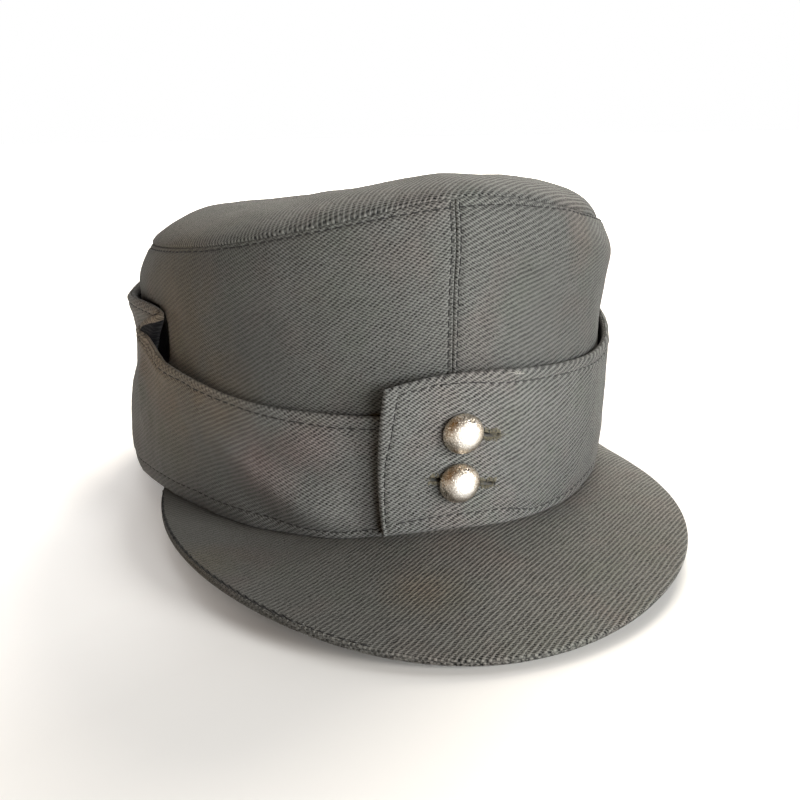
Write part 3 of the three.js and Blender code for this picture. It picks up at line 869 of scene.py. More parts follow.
class Flap(Strip):
    """One flap of the folded-up band, with a hem stitched along its edges.

    Between the two angles of roll its top edge is rolled: thicker by roll_wall down to
    roll_depth less roll_fall, and fading out over roll_fall there and roll_ends at its ends.
    """

    wall = FORM.flap_wall
    samples = (1600, 24)
    waves = ((0.22, 19, 3), (0.07, 5, 0))
    normal_step = 0.3
    flare: float = 1.8
    roll: Optional[tuple[float, float]] = None
    roll_wall: float = 1.1
    roll_depth: float = 8.0
    roll_fall: float = 5.0
    roll_ends: float = 8.0
    step: float = 1.35
    column_step: float = 1.0
    end_stitches: tuple[tuple[float, float], ...] = (
        (7.5, 1.6),
        (15, 1.9),
        (25, 2.1),
        (33, 3.6),
        (46, 4.6),
    )

    def __init__(
        self,
        name: str,
        rows: Sequence[FlapRow],
        stitches: Sequence[tuple[float, float, float]],
        free_end: bool,
        folds: Sequence["Fold | Dent"] = (),
    ) -> None:
        """Lays the flap out flat.

        Args:
            name: The piece's name.
            rows: The flap's places, from its first end to its last.
            stitches: Angles, with the topstitches' distances from the top and bottom edge.
            free_end: Whether its first end is free and stitched.
            folds: Its soft folds.
        """
        self.name = name
        self.rows = tuple(rows)
        self.stitches = tuple(stitches)
        self.free_end = free_end
        self.places = np.linspace(0, len(rows) - 1, self.samples[0])
        across = np.broadcast_to(self.places[:, None], self.samples)
        shares = np.broadcast_to(np.linspace(0, 1, self.samples[1]), self.samples)
        line = self._level(self.places, np.full_like(self.places, 0.5))
        self.measure(line, self._level(across, shares))
        self.folds = tuple(fold.laid_on(self) for fold in folds)

    def place(self, angle: float, height: float) -> tuple[float, float]:
        """The place on the flat flap at its foot's angle and a height."""
        a = self.place_of(angle)
        index = np.array(float(np.interp(a, self.arcs, self.places)))
        low = float(FORM.rim_height(np.array(math.radians(angle))) + self._value("hem", index))
        share = (height - low) / (float(self._value("height", index)) - low)
        return a, float(self.length_at(np.array(a))) * share

    def _value(self, column: str, place: Array) -> Array:
        """Smooth values of one column of the table between its rows."""
        values = np.array([getattr(row, column) for row in self.rows])
        last = len(values) - 1
        row = np.clip(np.floor(place).astype(int), 0, last - 1)
        step = place - row

        def at(index: Array) -> Array:
            """Values at whole rows, with the end rows repeated."""
            return values[np.clip(index, 0, last)]

        leave = (at(row + 1) - at(row - 1)) / 2
        arrive = (at(row + 2) - at(row)) / 2
        squared, cubed = step**2, step**3
        return (
            at(row) * (2 * cubed - 3 * squared + 1)
            + leave * (cubed - 2 * squared + step)
            + at(row + 1) * (3 * squared - 2 * cubed)
            + arrive * (cubed - squared)
        )

    def _level(self, place: Array, up: Array) -> Array:
        """Middle of the flap's thickness in the level frame."""
        foot = np.radians(self._value("foot", place))
        tip = np.radians(self._value("tip", place))
        middle = 4 * up * (1 - up)
        rise = np.maximum(up, 0) ** self.flare
        t = foot + (tip - foot) * rise + np.radians(self._value("bow", place)) * middle
        low = FORM.rim_height(foot) + self._value("hem", place)
        height = low + (self._value("height", place) - low) * up
        stand = self._value("stand", place)
        stand = stand + (self._value("lift", place) - stand) * rise
        away = FORM.flap_gap + self.wall / 2 + stand + self._value("belly", place) * middle
        return FORM.crown_at_height(t, height) + FORM.outward(t) * away[..., None]

    def place_of(self, angle: float) -> float:
        """The place along the flap whose foot stands at an angle in degrees."""
        feet = self._value("foot", self.places)
        return float(np.interp(angle, feet, self.arcs))

    def middle(self, a: Array, d: Array) -> Array:
        """Middle of the flap's thickness."""
        over = a - np.clip(a, self.arcs[0], self.arcs[-1])
        ends = np.where(over < 0, self.arcs[1] / self.places[1], 1.0)
        place = np.interp(a, self.arcs, self.places) + over / ends * (over < 0)
        return self._level(place, d / self.length_at(a))

    def normal(self, a: Array, d: Array) -> Array:
        """Unit normals of the middle, which also holds where the flap is folded back on itself."""
        return self.slope_normal(a, d)

    def thickness(self, a: Array, d: Array) -> Array:
        """The cloth's thickness, greater where the top edge is rolled."""
        wall = super().thickness(a, d)
        if self.roll is None:
            return wall
        start, end = (self.place_of(angle) for angle in self.roll)
        along = eased((a - start) / self.roll_ends) * eased((end - a) / self.roll_ends)
        below = self.length_at(a) - d
        return wall + self.roll_wall * along * eased((self.roll_depth - below) / self.roll_fall)

    def _stitch_column(self, a: Array, column: int) -> Array:
        """One column of the stitch table at places along the flap."""
        places = [self.place_of(row[0]) for row in self.stitches]
        return np.interp(a, places, [row[column] for row in self.stitches])

    def top_stitch_depth(self, a: Array) -> Array:
        """Distance of the topstitch below the top edge."""
        return self._stitch_column(a, 1) + 0.12 * smooth_noise(a, 0 * a, 30, self.seed + 71)

    def bottom_stitch_height(self, a: Array) -> Array:
        """Distance of the topstitch above the bottom edge."""
        return self._stitch_column(a, 2) + 0.15 * smooth_noise(a, 0 * a, 30, self.seed + 72)

    def end_stitch_inset(self, d: Array) -> Array:
        """Distance of the topstitch from the free end at heights up the flap."""
        places, insets = zip(*self.end_stitches)
        return np.interp(d, places, insets)

    def relief(self, a: Array, d: Array) -> Array:
        """Furrows at the topstitches, a raised hem, and cloth that is never quite flat."""
        below = self.length_at(a) - d
        depth, foot = self.top_stitch_depth(a), self.bottom_stitch_height(a)
        furrow = -0.45 * ridge(below - depth, 0.6) - 0.4 * ridge(d - foot, 0.6)
        hem = 0.12 * ridge(below - depth / 2, 0.9) + 0.15 * ridge(d - foot / 2, 1.6)
        if self.free_end:
            furrow = furrow - 0.45 * ridge(a - self.end_stitch_inset(d), 0.6)
        return furrow + hem + self.unevenness(a, d)

    def grid(self) -> tuple[Array, Array]:
        """Columns close at the ends, and rows close at the edges and stitches."""
        marks = (1.6, 2.0, 2.4, 2.8, 3.2, 3.6, 4.0, 4.4, 4.8, 5.2, 5.7, 6.2, 6.7, 7.4)
        start = edge_rows(self.wall / 2, marks if self.free_end else (2.2,))
        top = self._level(self.places, np.full_like(self.places, 0.97))
        steps = np.maximum(np.linalg.norm(np.diff(top, axis=0), axis=1), np.diff(self.arcs))
        pace = np.concatenate([[0], np.cumsum(steps)])
        even = spread_rows(pace[-1:], start, self.column_step, edge_rows(self.wall / 2, (2.2,)))[0]
        along = np.interp(even, pace, self.arcs)
        up = spread_rows(self.length_at(along), edge_rows(self.wall / 2, marks), self.step)
        return in_columns(along, up)


@dataclass(frozen=True)
class PeakForm:
    """The peak's outline and drop, in millimetres and degrees."""

    root_angle: float = 73.0
    half_width: float = 105.9
    reach: float = 58.3
    sweep: float = 88.0
    bend: float = 1.3
    drop_front: float = 13.1
    drop_shoulder: float = -3.5
    drop_left: float = -0.5
    drop_corner: float = -1.1
    drop_sharpness: float = 0.8
    skew_even: float = -1.8
    skew_odd: float = 4.0
    skew_lobe: float = -0.4
    skew_quarter: float = -0.6
    lift_left: float = 1.2
    lift_right: float = -1.6
    lift_front: float = 2.1

    def edge(self, turn: Array) -> Array:
        """The peak's outer edge at turns from -90 to 90 degrees, in radians."""
        side, ahead, double = np.sin(turn), np.maximum(np.cos(turn), 0), np.sin(2 * turn)
        root = math.radians(self.root_angle)
        root_x = FORM.rim.half_width * math.sin(root)
        root_y = -FORM.rim.half_length * math.cos(root)
        lobe = double**2 * (self.skew_lobe + self.skew_quarter * np.cos(2 * turn))
        skew = ahead * (self.skew_even * side + self.skew_odd * double)
        x = (root_x + (self.half_width - FORM.rim.half_width) * ahead + lobe + skew) * side
        y = root_y - (FORM.rim.half_length + self.reach + root_y + lobe) * ahead
        drop = self.drop_front * ahead**self.drop_sharpness + self.drop_shoulder * 4 * ahead * side**2
        uneven = ahead * side * (self.drop_left + self.drop_corner * np.abs(side))
        return np.stack([x, y, uneven - drop], axis=-1)


class Peak(Sheet):
    """One cloth of the peak. A place on it is its turn in degrees and its share of the way out."""

    waves = ((0.14, 23, 41),)
    form: PeakForm = PeakForm()
    columns: int = 300
    tuck: float = 3.0
    between: float = 0.04
    under_inset: float = 1.1
    rows: int = 26

    def __init__(self, name: str, depth: int, folds: Sequence[Fold] = ()) -> None:
        """Sets the piece's name, its layer, 0 for the upper and 1 for the lower, and its folds."""
        self.name = name
        self.depth = depth
        self.folds = tuple(folds)
        self.turns = np.linspace(-self.form.sweep, self.form.sweep, self.columns + 1)
        self.widths = np.linalg.norm(self._span(np.radians(self.turns))[1], axis=-1)

    def _thick(self, turn: Array) -> Array:
        """Thickness of the cloth at turns in radians."""
        return FORM.peak_tip_wall + (FORM.peak_wall - FORM.peak_tip_wall) * np.cos(turn)

    def _span(self, turn: Array) -> tuple[Array, Array]:
        """The point at the rim and the way from it to the outer edge, at turns in radians."""
        t = math.radians(self.form.root_angle) * turn / math.radians(90)
        below = (self.depth + 0.5) * self._thick(turn) + self.depth * self.between
        rim = FORM.rim_point(t, FORM.rim_height(t) - FORM.gap - below, np.full_like(turn, -FORM.gap))
        edge = self.form.edge(turn)
        inset = self.depth * self.under_inset * eased((np.degrees(turn) + 60) / 50)
        edge = edge + unit(rim - edge) * inset[..., None]
        tip = np.where(turn < 0, self.form.lift_left, self.form.lift_right)
        lift = tip + (self.form.lift_front - tip) * np.cos(turn) ** 2
        edge[..., 2] += lift + self._thick(turn) - below
        return rim, edge - rim

    def middle(self, a: Array, d: Array) -> Array:
        """Middle of the cloth's thickness, with d as the distance out from the rim."""
        turn = np.radians(a) + 0 * d
        rim, way = self._span(turn)
        share = d / np.interp(a, self.turns, self.widths)
        point = rim + way * share[..., None]
        point[..., 2] = rim[..., 2] + way[..., 2] * np.sign(share) * np.abs(share) ** self.form.bend
        return point

    def guide(self, a: Array, d: Array) -> Array:
        """Up."""
        return np.broadcast_to(np.array([0.0, 0.0, 1.0]), (*np.broadcast(a, d).shape, 3))

    def thickness(self, a: Array, d: Array) -> Array:
        """The cloth's thickness, less at the peak's ends."""
        return self._thick(np.radians(a) + 0 * d)

    def edge_distance(self, a: Array, d: Array) -> Array:
        """Distance from the outer edge."""
        return np.interp(a, self.turns, self.widths) - d

    def flat_place(self, a: Array, d: Array, points: Array) -> Array:
        """The peak is all but flat, so its plan is its cut."""
        return points[..., :2] / MM

    def stitch_inset(self, a: Array) -> Array:
        """Distance of the topstitch from the outer edge."""
        return 0.7 + 0 * a

    def relief(self, a: Array, d: Array) -> Array:
        """A furrow at the edge stitch, and cloth that is never quite flat."""
        if self.depth:
            return np.zeros(np.broadcast(a, d).shape)
        inset = self.edge_distance(a, d)
        plan = self.middle(a, d)
        noise = self.unevenness(plan[..., 0], plan[..., 1])
        left = 1 - eased((a + 40) / 25)
        furrow = 0.2 * left * ridge(inset - self.stitch_inset(a), 0.4)
        return noise - furrow - 0.25 * np.exp(-inset / 0.9)

    def lift(self, a: Array, d: Array) -> Array:
        """Folds, given by their places in plan."""
        plan = self.middle(a, d)
        return self.folded(plan[..., 0], plan[..., 1])

    def grid(self) -> tuple[Array, Array]:
        """Rows from under the band to the outer edge, close at the edge."""
        outer = edge_rows(0.8, (1.0, 1.2, 1.4, 1.6, 1.9, 2.4, 3.2))
        share = np.linspace(0, 1, self.rows + 1)
        span = self.widths - outer[-1] + self.tuck
        inner = span[:, None] * share - self.tuck
        up = np.concatenate([inner, self.widths[:, None] - outer[::-1][1:]], axis=1)
        return in_columns(self.turns, up)


# Stitches and threads


@dataclass(frozen=True)
class Thread:
    """A sewing thread: the sizes of its stitches in millimetres, and how finely they are made."""

    radius: float = 0.23
    stitch: float = 2.6
    space: float = 0.5
    rise: float = 0.1
    start: float = 0.4
    uneven: float = 0.12
    sides: int = 6
    rings: int = 7


def thread_tubes(lines: Array, normals: Array, radius: float, sides: int) -> tuple[Array, Array]:
    """Joined tubes with pointed ends.

    Args:
        lines: Points of each tube's middle, in metres, as tubes by rings by three.
        normals: A direction across each tube at each ring.
        radius: The tubes' radius in metres.
        sides: How many sides each tube has.

    Returns:
        Points and four-sided faces.
    """
    count, rings = lines.shape[:2]
    along = unit(np.gradient(lines, axis=1))
    across = unit(np.cross(along, normals))
    up = np.cross(across, along)
    share = np.linspace(-1, 1, rings)
    taper = np.sqrt(np.maximum(1 - share**6, 0.02))
    turn = np.arange(sides) * TAU / sides
    ring = up[:, :, None] * np.cos(turn)[:, None] + across[:, :, None] * np.sin(turn)[:, None]
    points = lines[:, :, None] + ring * (radius * taper)[None, :, None, None]
    index = np.arange(count * rings * sides).reshape(count, rings, sides)
    turned = np.roll(index, -1, axis=2)
    tube = np.stack([index[:, :-1], turned[:, :-1], turned[:, 1:], index[:, 1:]], axis=-1).reshape(-1, 4)
    caps = []
    for k in range(0, sides - 2, 2):
        for ring_index, flip in ((index[:, 0], False), (index[:, -1], True)):
            quad = np.stack([ring_index[:, j % sides] for j in (0, k + 1, k + 2, k + 3)], axis=-1)
            caps.append(quad[:, ::-1] if not flip else quad)
    return points.reshape(-1, 3), np.concatenate([tube, *caps])


@dataclass(frozen=True)
class StitchRow:
    """A row of stitches along a line on a sheet, slightly uneven."""

    sheet: Sheet
    thread: Thread
    seed: int

    def tubes(self, a: Array, d: Array) -> tuple[Array, Array]:
        """The row's stitches along places of the flat sheet, as points and faces."""
        draw = np.random.default_rng(self.seed)
        points, normals = self.sheet.face(a, d)
        arcs = arc_lengths(points) / MM
        thread = self.thread
        starts = np.arange(thread.start, arcs[-1] - thread.stitch, thread.stitch + thread.space)
        starts = starts + draw.uniform(-thread.uneven, thread.uneven, len(starts))
        lengths = thread.stitch * draw.uniform(0.9, 1.06, len(starts))
        share = np.linspace(0, 1, thread.rings)
        places = starts[:, None] + lengths[:, None] * share
        line, normal = (
            np.stack([np.interp(places, arcs, values[:, k]) for k in range(3)], axis=-1)
            for values in (points, normals)
        )
        sunk = 0.45 * thread.radius * (np.abs(2 * share - 1) ** 5) * 4
        height = thread.rise * np.sin(math.pi * share) ** 0.6 - sunk
        line = line + normal * (height * MM)[None, :, None]
        return thread_tubes(line, normal, thread.radius * MM, thread.sides)


def joined(parts: Sequence[tuple[Array, Array]]) -> tuple[Array, Array]:
    """Several meshes as one."""
    points, faces, start = [], [], 0
    for some_points, some_faces in parts:
        points.append(some_points)
        faces.append(some_faces + start)
        start += len(some_points)
    return np.concatenate(points), np.concatenate(faces)


# Finishes


class Maths:
    """Short ways to write sums as nodes of one tree."""

    def __init__(self, tree: Tree) -> None:
        """Sets the tree."""
        self.tree = tree

    def put(self, socket: Socket, value: object) -> None:
        """Links a socket or sets its number."""
        if isinstance(value, Socket):
            self.tree.links.new(value, socket)
        else:
            socket.default_value = value

    def fill(self, node: bpy.types.Node, inputs: dict) -> None:
        """Links or sets a node's inputs, by name or number."""
        for key, value in inputs.items():
            self.put(node.inputs[key], value)

    def node(self, kind: str, inputs: Optional[dict] = None, **values: object) -> Outputs:
        """Adds a node.

        Args:
            kind: The node's kind, without the ShaderNode before it.
            inputs: Its inputs, by name or number.
            **values: Its properties.

        Returns:
            Its outputs.
        """
        node = self.tree.nodes.new("ShaderNode" + kind)
        for key, value in values.items():
            setattr(node, key, value)
        self.fill(node, inputs or {})
        return node.outputs

    def sum(self, operation: str, *values: object, clamp: bool = False) -> Socket:
        """A maths node's result."""
        return self.node("Math", dict(enumerate(values)), operation=operation, use_clamp=clamp)[0]

    def vector(self, operation: str, *values: object) -> Socket:
        """A vector maths node's vector."""
        return self.node("VectorMath", dict(enumerate(values)), operation=operation)[0]

    def measure(self, operation: str, *values: object) -> Socket:
        """A vector maths node's number."""
        return self.node("VectorMath", dict(enumerate(values)), operation=operation)["Value"]

    def scaled(self, vector: object, factor: object) -> Socket:
        """A vector times a number."""
        return self.node("VectorMath", {0: vector, "Scale": factor}, operation="SCALE")[0]

    def parts(self, vector: object) -> Outputs:
        """A vector's three numbers, by name."""
        return self.node("SeparateXYZ", {0: vector})

    def noise(self, vector: object, scale: float, detail: float = 2.0, rough: float = 0.5) -> Outputs:
        """A noise texture's outputs."""
        inputs = {"Vector": vector, "Scale": scale, "Detail": detail, "Roughness": rough}
        return self.node("TexNoise", inputs)

    def ranged(self, value: object, low: float, high: float, to_low: float, to_high: float) -> Socket:
        """A value moved from one range to another."""
        keys = ("Value", "From Min", "From Max", "To Min", "To Max")
        return self.node("MapRange", dict(zip(keys, (value, low, high, to_low, to_high))), clamp=True)[0]

    def mixed(self, factor: object, first: object, second: object, blend: str = "MIX") -> Socket:
        """Two colours mixed."""
        return self.node("Mix", {0: factor, 6: first, 7: second}, data_type="RGBA", blend_type=blend)[2]

    def group(self, tree: Tree, **inputs: object) -> Outputs:
        """A node group placed with its own values."""
        return self.node("Group", inputs, node_tree=tree)

    def bump(self, height: object, strength: float, distance: float) -> Socket:
        """The normal of a relief whose depth is in millimetres."""
        inputs = {"Strength": strength, "Distance": distance * MM, "Height": height}
        return self.node("Bump", inputs)[0]


def new_group(
    name: str, inputs: dict, outputs: dict
) -> tuple[Tree, Maths, Outputs, bpy.types.Node]:
    """Makes a node group with named sockets.

    Args:
        name: The group's name.
        inputs: Kind and first value of each input, by name.
        outputs: Kind of each output, by name.

    Returns:
        The group, its sums, what goes into it and the node that its results go to.
    """
    tree = bpy.data.node_groups.new(name, "ShaderNodeTree")
    for key, (kind, value) in inputs.items():
        socket = tree.interface.new_socket(key, in_out="INPUT", socket_type="NodeSocket" + kind)
        if value is not None:
            socket.default_value = value
    for key, kind in outputs.items():
        tree.interface.new_socket(key, in_out="OUTPUT", socket_type="NodeSocket" + kind)
    source, result = tree.nodes.new("NodeGroupInput"), tree.nodes.new("NodeGroupOutput")
    return tree, Maths(tree), source.outputs, result


@cache
def twill_group() -> Tree:
    """Ribs of twill with their short yarns, over places on the flat cloth in millimetres."""
    inputs = {
        "Place": ("Vector", None),
        "Angle": ("Float", 0.5),
        "Pitch": ("Float", 1.3),
        "Yarn": ("Float", 0.8),
        "Wobble": ("Float", 0.5),
        "Depth": ("Float", 1.0),
    }
    outputs = dict.fromkeys(("Height", "Rib", "Yarns", "Fibre"), "Float")
    tree, m, source, result = new_group("twill_weave", inputs, outputs)
    place = moved = source["Place"]
    for scale, detail, reach in ((0.09, 2.0, 2.4), (0.9, 1.0, 1.9)):
        drift = m.vector("SUBTRACT", m.noise(place, scale, detail)["Color"], (0.5, 0.5, 0.5))
        moved = m.vector("ADD", moved, m.scaled(drift, m.sum("MULTIPLY", source["Wobble"], reach)))
    turn = m.sum("MULTIPLY", source["Angle"], -1.0)
    turned = m.parts(m.node("VectorRotate", {"Vector": moved, "Angle": turn}, rotation_type="Z_AXIS")[0])
    phase = m.sum("DIVIDE", turned["Y"], source["Pitch"])
    wave = m.sum("COSINE", m.sum("MULTIPLY", phase, TAU))
    groove = m.ranged(m.sum("MULTIPLY_ADD", wave, -0.5, 0.5), 0.1, 0.65, 0.0, 1.0)
    run = m.sum("DIVIDE", turned["X"], source["Yarn"])
    lean = m.sum("MULTIPLY", phase, 0.85)
    beads = m.sum("COSINE", m.sum("MULTIPLY", m.sum("ADD", run, lean), TAU))
    yarns = m.sum("MULTIPLY_ADD", beads, 0.5, 0.5)
    patchy = m.ranged(m.noise(place, 0.22)["Fac"], 0.35, 0.65, 0.8, 1.0)
    slubs = m.ranged(m.noise(place, 1.5)["Fac"], 0.32, 0.68, 0.55, 1.25)
    patchy = m.sum("MULTIPLY", m.sum("MULTIPLY", patchy, source["Depth"]), slubs)
    dots = m.sum("MULTIPLY", groove, m.sum("MULTIPLY_ADD", yarns, -0.45, 1.0))
    rib = m.sum("SUBTRACT", 1.0, m.sum("MULTIPLY", dots, patchy), clamp=True)
    fibre = m.noise(place, 2.4, 3.0, 0.7)["Fac"]
    height = m.sum("ADD", rib, m.sum("MULTIPLY", fibre, 0.3))
    m.fill(result, {"Height": height, "Rib": rib, "Yarns": yarns, "Fibre": fibre})
    return tree


@cache
def patina_group() -> Tree:
    """Soft uneven tints of worn wool over the whole cap."""
    inputs = {"Position": ("Vector", None), "Warm": ("Float", 0.5)}
    tree, m, source, result = new_group("wool_patina", inputs, {"Tint": "Color", "Shade": "Float"})
    place, warm = source["Position"], source["Warm"]
    pink = m.ranged(m.noise(place, 42.0)["Fac"], 0.5, 0.7, 0.0, 1.0)
    elsewhere = m.vector("ADD", place, (3.0, 1.0, 2.0))
    green = m.ranged(m.noise(elsewhere, 55.0)["Fac"], 0.52, 0.72, 0.0, 1.0)
    base = m.mixed(m.sum("MULTIPLY", pink, warm), WHITE, (1.07, 0.965, 0.95, 1.0))
    tint = m.mixed(m.sum("MULTIPLY", green, warm), base, (0.96, 1.0, 0.95, 1.0))
    shade = m.ranged(m.noise(place, 18.0, 3.0)["Fac"], 0.3, 0.7, 0.93, 1.07)
    m.fill(result, {"Tint": tint, "Shade": shade})
    return tree


@dataclass(frozen=True)
class TintPatch:
    """A soft tinted patch round a place on the cap, in millimetres."""

    place: tuple[float, float, float]
    radius: float
    tint: Colour


BROWN, PINK, ORANGE = (1.09, 1.0, 0.9), (1.09, 0.95, 0.95), (1.09, 1.0, 0.89)
# Tinted patches: warm brown, pink and orange ones over the cloth, and one neutral patch that lightens
# it, which is painted light.
TINT_PATCHES = (
    TintPatch((-83, -16, 94), 30, BROWN),
    TintPatch((-80, -20, 76), 28, BROWN),
    TintPatch((-76, -24, 60), 24, BROWN),
    TintPatch((-61, -42, 50), 14, (1.10, 0.99, 0.90)),
    TintPatch((-81, -18, 40), 26, BROWN),
    TintPatch((-51, -53, 30), 14, PINK),
    TintPatch((-38, -63, 41), 10, PINK),
    TintPatch((-15, -101, 8), 13, ORANGE),
    TintPatch((-73, -70, 10), 13, ORANGE),
    TintPatch((55, -58, 96), 12, (1.04, 1.0, 0.95)),
    # Painted light: lightens the right flap near the free end.
    TintPatch((-29, -75, 23), 13, (1.22, 1.22, 1.21)),
)


@cache
def tint_patch_group() -> Tree:
    """One soft tinted patch with a ragged border."""
    inputs = {
        "Colour": ("Color", None),
        "Position": ("Vector", None),
        "Ragged": ("Float", 1.0),
        "Centre": ("Vector", None),
        "Radius": ("Float", 0.01),
        "Tint": ("Color", WHITE),
    }
    tree, m, source, result = new_group("soft_tint_patch", inputs, {"Colour": "Color"})
    away = m.measure("DISTANCE", source["Position"], source["Centre"])
    share = m.sum("MULTIPLY", m.sum("DIVIDE", away, source["Radius"]), source["Ragged"])
    tint = m.mixed(m.ranged(share, 0.3, 1.2, 1.0, 0.0), WHITE, source["Tint"])
    m.fill(result, {"Colour": m.mixed(1.0, source["Colour"], tint, "MULTIPLY")})
    return tree


class Gloss(Enum):
    """How rough a surface is."""

    WOOL = 0.92
    THREAD = 0.75
    TABLE = 0.7


class Finish:
    """A surface's look, made into a material once."""

    name: str

    def paint(self, m: Maths, shader: bpy.types.Node) -> None:
        """Adds the look's nodes in front of the material's shader."""
        raise NotImplementedError

    def material(self) -> bpy.types.Material:
        """The look's material."""
        found = bpy.data.materials.get(self.name)
        if found:
            return found
        material = bpy.data.materials.new(self.name)
        material.use_nodes = True
        tree = material.node_tree
        self.paint(Maths(tree), tree.nodes["Principled BSDF"])
        return material


@dataclass(frozen=True)
class TwillCloth(Finish):
    """Wool twill with bold slanting ribs.

    angle is the ribs' in degrees, and pitch, yarn and relief are sizes in millimetres. Across
    the cap the cloth is darkened by painted shade to painted_shade_left and painted_shade_right at its
    sides, and its ribs fade from full to faded, over spans in metres. Its grooves are painted down to
    groove_shade as painted shade. inside is painted shade over the inner face.
    """

    name: str
    angle: float = 31.0
    pitch: float = 1.32
    yarn: float = 0.8
    wobble: float = 0.35
    rib_light: Colour = (0.16, 0.162, 0.151)
    groove_shade: Colour = (0.002, 0.0022, 0.0025)
    relief: float = 0.3
    warm: float = 0.8
    painted_shade_left: float = 0.62
    painted_shade_right: float = 0.68
    left_span: tuple[float, float] = (-0.07, 0.004)
    right_span: tuple[float, float] = (0.008, 0.06)
    faded: float = 0.5
    full: float = 0.84
    fade_span: tuple[float, float] = (-0.075, -0.015)
    inside: Colour = (1.0, 1.0, 1.0)
    inside_from: float = -1000.0

    def paint(self, m: Maths, shader: bpy.types.Node) -> None:
        """Lays the weave, the painted shade in its grooves and at the cap's sides, the patina, the
        tinted patches with one of painted light, and the painted shade of the inner face over each
        other.
        """
        flat = m.node("UVMap", uv_map="cloth")[0]
        place = m.node("TexCoord")["Object"]
        across = m.parts(place)["X"]
        weave = m.group(
            twill_group(),
            Place=flat,
            Angle=math.radians(self.angle),
            Pitch=self.pitch,
            Yarn=self.yarn,
            Wobble=self.wobble,
            Depth=m.ranged(across, *self.fade_span, self.faded, self.full),
        )
        patina = m.group(patina_group(), Position=place, Warm=self.warm)
        beads = m.sum("MULTIPLY_ADD", weave["Yarns"], 0.45, 0.55)
        light = m.sum("SUBTRACT", m.sum("MULTIPLY", weave["Rib"], beads), 0.35)
        light = m.sum("MULTIPLY_ADD", weave["Fibre"], 0.7, light, clamp=True)
        # Painted shade: the grooves between the ribs go down to a near-black colour.
        cloth = m.mixed(light, (*self.groove_shade, 1.0), (*self.rib_light, 1.0))
        cloth = m.mixed(1.0, cloth, patina["Tint"], "MULTIPLY")
        # Painted shade: the cloth is darkened towards the cap's left and right sides.
        left = m.ranged(across, *self.left_span, self.painted_shade_left, 1.0)
        right = m.ranged(across, *self.right_span, 1.0, self.painted_shade_right)
        shade = m.sum("MULTIPLY", patina["Shade"], m.sum("MULTIPLY", left, right))
        cloth = m.mixed(1.0, cloth, m.node("CombineColor", {k: shade for k in range(3)})[0], "MULTIPLY")
        ragged = m.ranged(m.noise(place, 90.0, 3.0)["Fac"], 0.3, 0.7, 0.85, 1.2)
        # Lays the tinted patches over the cloth, one of them painted light.
        for patch in TINT_PATCHES:
            cloth = m.group(
                tint_patch_group(),
                Colour=cloth,
                Position=place,
                Ragged=ragged,
                Centre=tuple(part * MM for part in patch.place),
                Radius=patch.radius * MM,
                Tint=(*patch.tint, 1.0),
            )["Colour"]
        # Painted shade over the inner face, away from its edges.
        hidden = m.sum("LESS_THAN", m.parts(flat)["X"], self.inside_from)
        hidden = m.mixed(hidden, WHITE, (*self.inside, 1.0))
        looks = {
            "Base Color": m.mixed(1.0, cloth, hidden, "MULTIPLY"),
            "Roughness": Gloss.WOOL.value,
            "Specular IOR Level": 0.2,
            "Sheen Weight": 0.1,
            "Sheen Roughness": 0.4,
            "Sheen Tint": (0.75, 0.74, 0.7, 1.0),
            "Normal": m.bump(weave["Height"], 1.0, self.relief),
        }
        m.fill(shader, looks)


@dataclass(frozen=True)
class ThreadFinish(Finish):
    """Twisted sewing thread, darker in its twists."""

    name: str
    colour: Colour
    dark: float = 0.6

    def paint(self, m: Maths, shader: bpy.types.Node) -> None:
        """Specks the thread."""
        speck = m.noise(m.node("TexCoord")["Object"], 1800.0)["Fac"]
        dark = tuple(self.dark * part for part in self.colour)
        looks = {
            "Base Color": m.mixed(speck, (*dark, 1.0), (*self.colour, 1.0)),
            "Roughness": Gloss.THREAD.value,
            "Normal": m.bump(speck, 0.7, 0.05),
        }
        m.fill(shader, looks)


@dataclass(frozen=True)
class PebbledMetal(Finish):
    """Silvered button metal with a grained face, brown in its pits, and worn smooth on its dome, where a
    painted highlight makes it pale and less metallic.
    """

    name: str = "pebbled_button_metal"
    bright: Colour = (0.84, 0.78, 0.69)
    pit: Colour = (0.36, 0.28, 0.19)
    rubbed_highlight: Colour = (0.95, 0.92, 0.86)

    def paint(self, m: Maths, shader: bpy.types.Node) -> None:
        """Lays the grain, the tarnish, and the smoothed centre with its painted highlight over each
        other.
        """
        place = m.node("TexCoord")["Object"]
        grain = m.node("TexVoronoi", {"Vector": place, "Scale": 2600.0}, feature="F1")["Distance"]
        out = m.measure("LENGTH", m.node("UVMap", uv_map="cloth")[0])
        worn = m.noise(place, 700.0, 3.0)["Fac"]
        # Painted highlight, partly wear: the dome's centre turns pale, rougher and less metallic.
        polish_and_highlight = m.ranged(m.sum("MULTIPLY_ADD", worn, 1.4, out), 2.1, 6.0, 1.0, 0.0)
        pits = m.ranged(m.sum("ADD", grain, m.sum("MULTIPLY", worn, 0.5)), 0.5, 1.0, 0.0, 1.0)
        tarnished = m.mixed(pits, (*self.bright, 1.0), (*self.pit, 1.0))
        rough = m.ranged(worn, 0.3, 0.7, 0.2, 0.4)
        looks = {
            "Base Color": m.mixed(polish_and_highlight, tarnished, (*self.rubbed_highlight, 1.0)),
            "Roughness": m.sum("MULTIPLY_ADD", polish_and_highlight, 0.2, rough),
            "Metallic": m.sum("MULTIPLY_ADD", polish_and_highlight, -0.5, 1.0),
            "Normal": m.bump(m.sum("SUBTRACT", 1.0, grain), 0.8, 0.1),
        }
        m.fill(shader, looks)


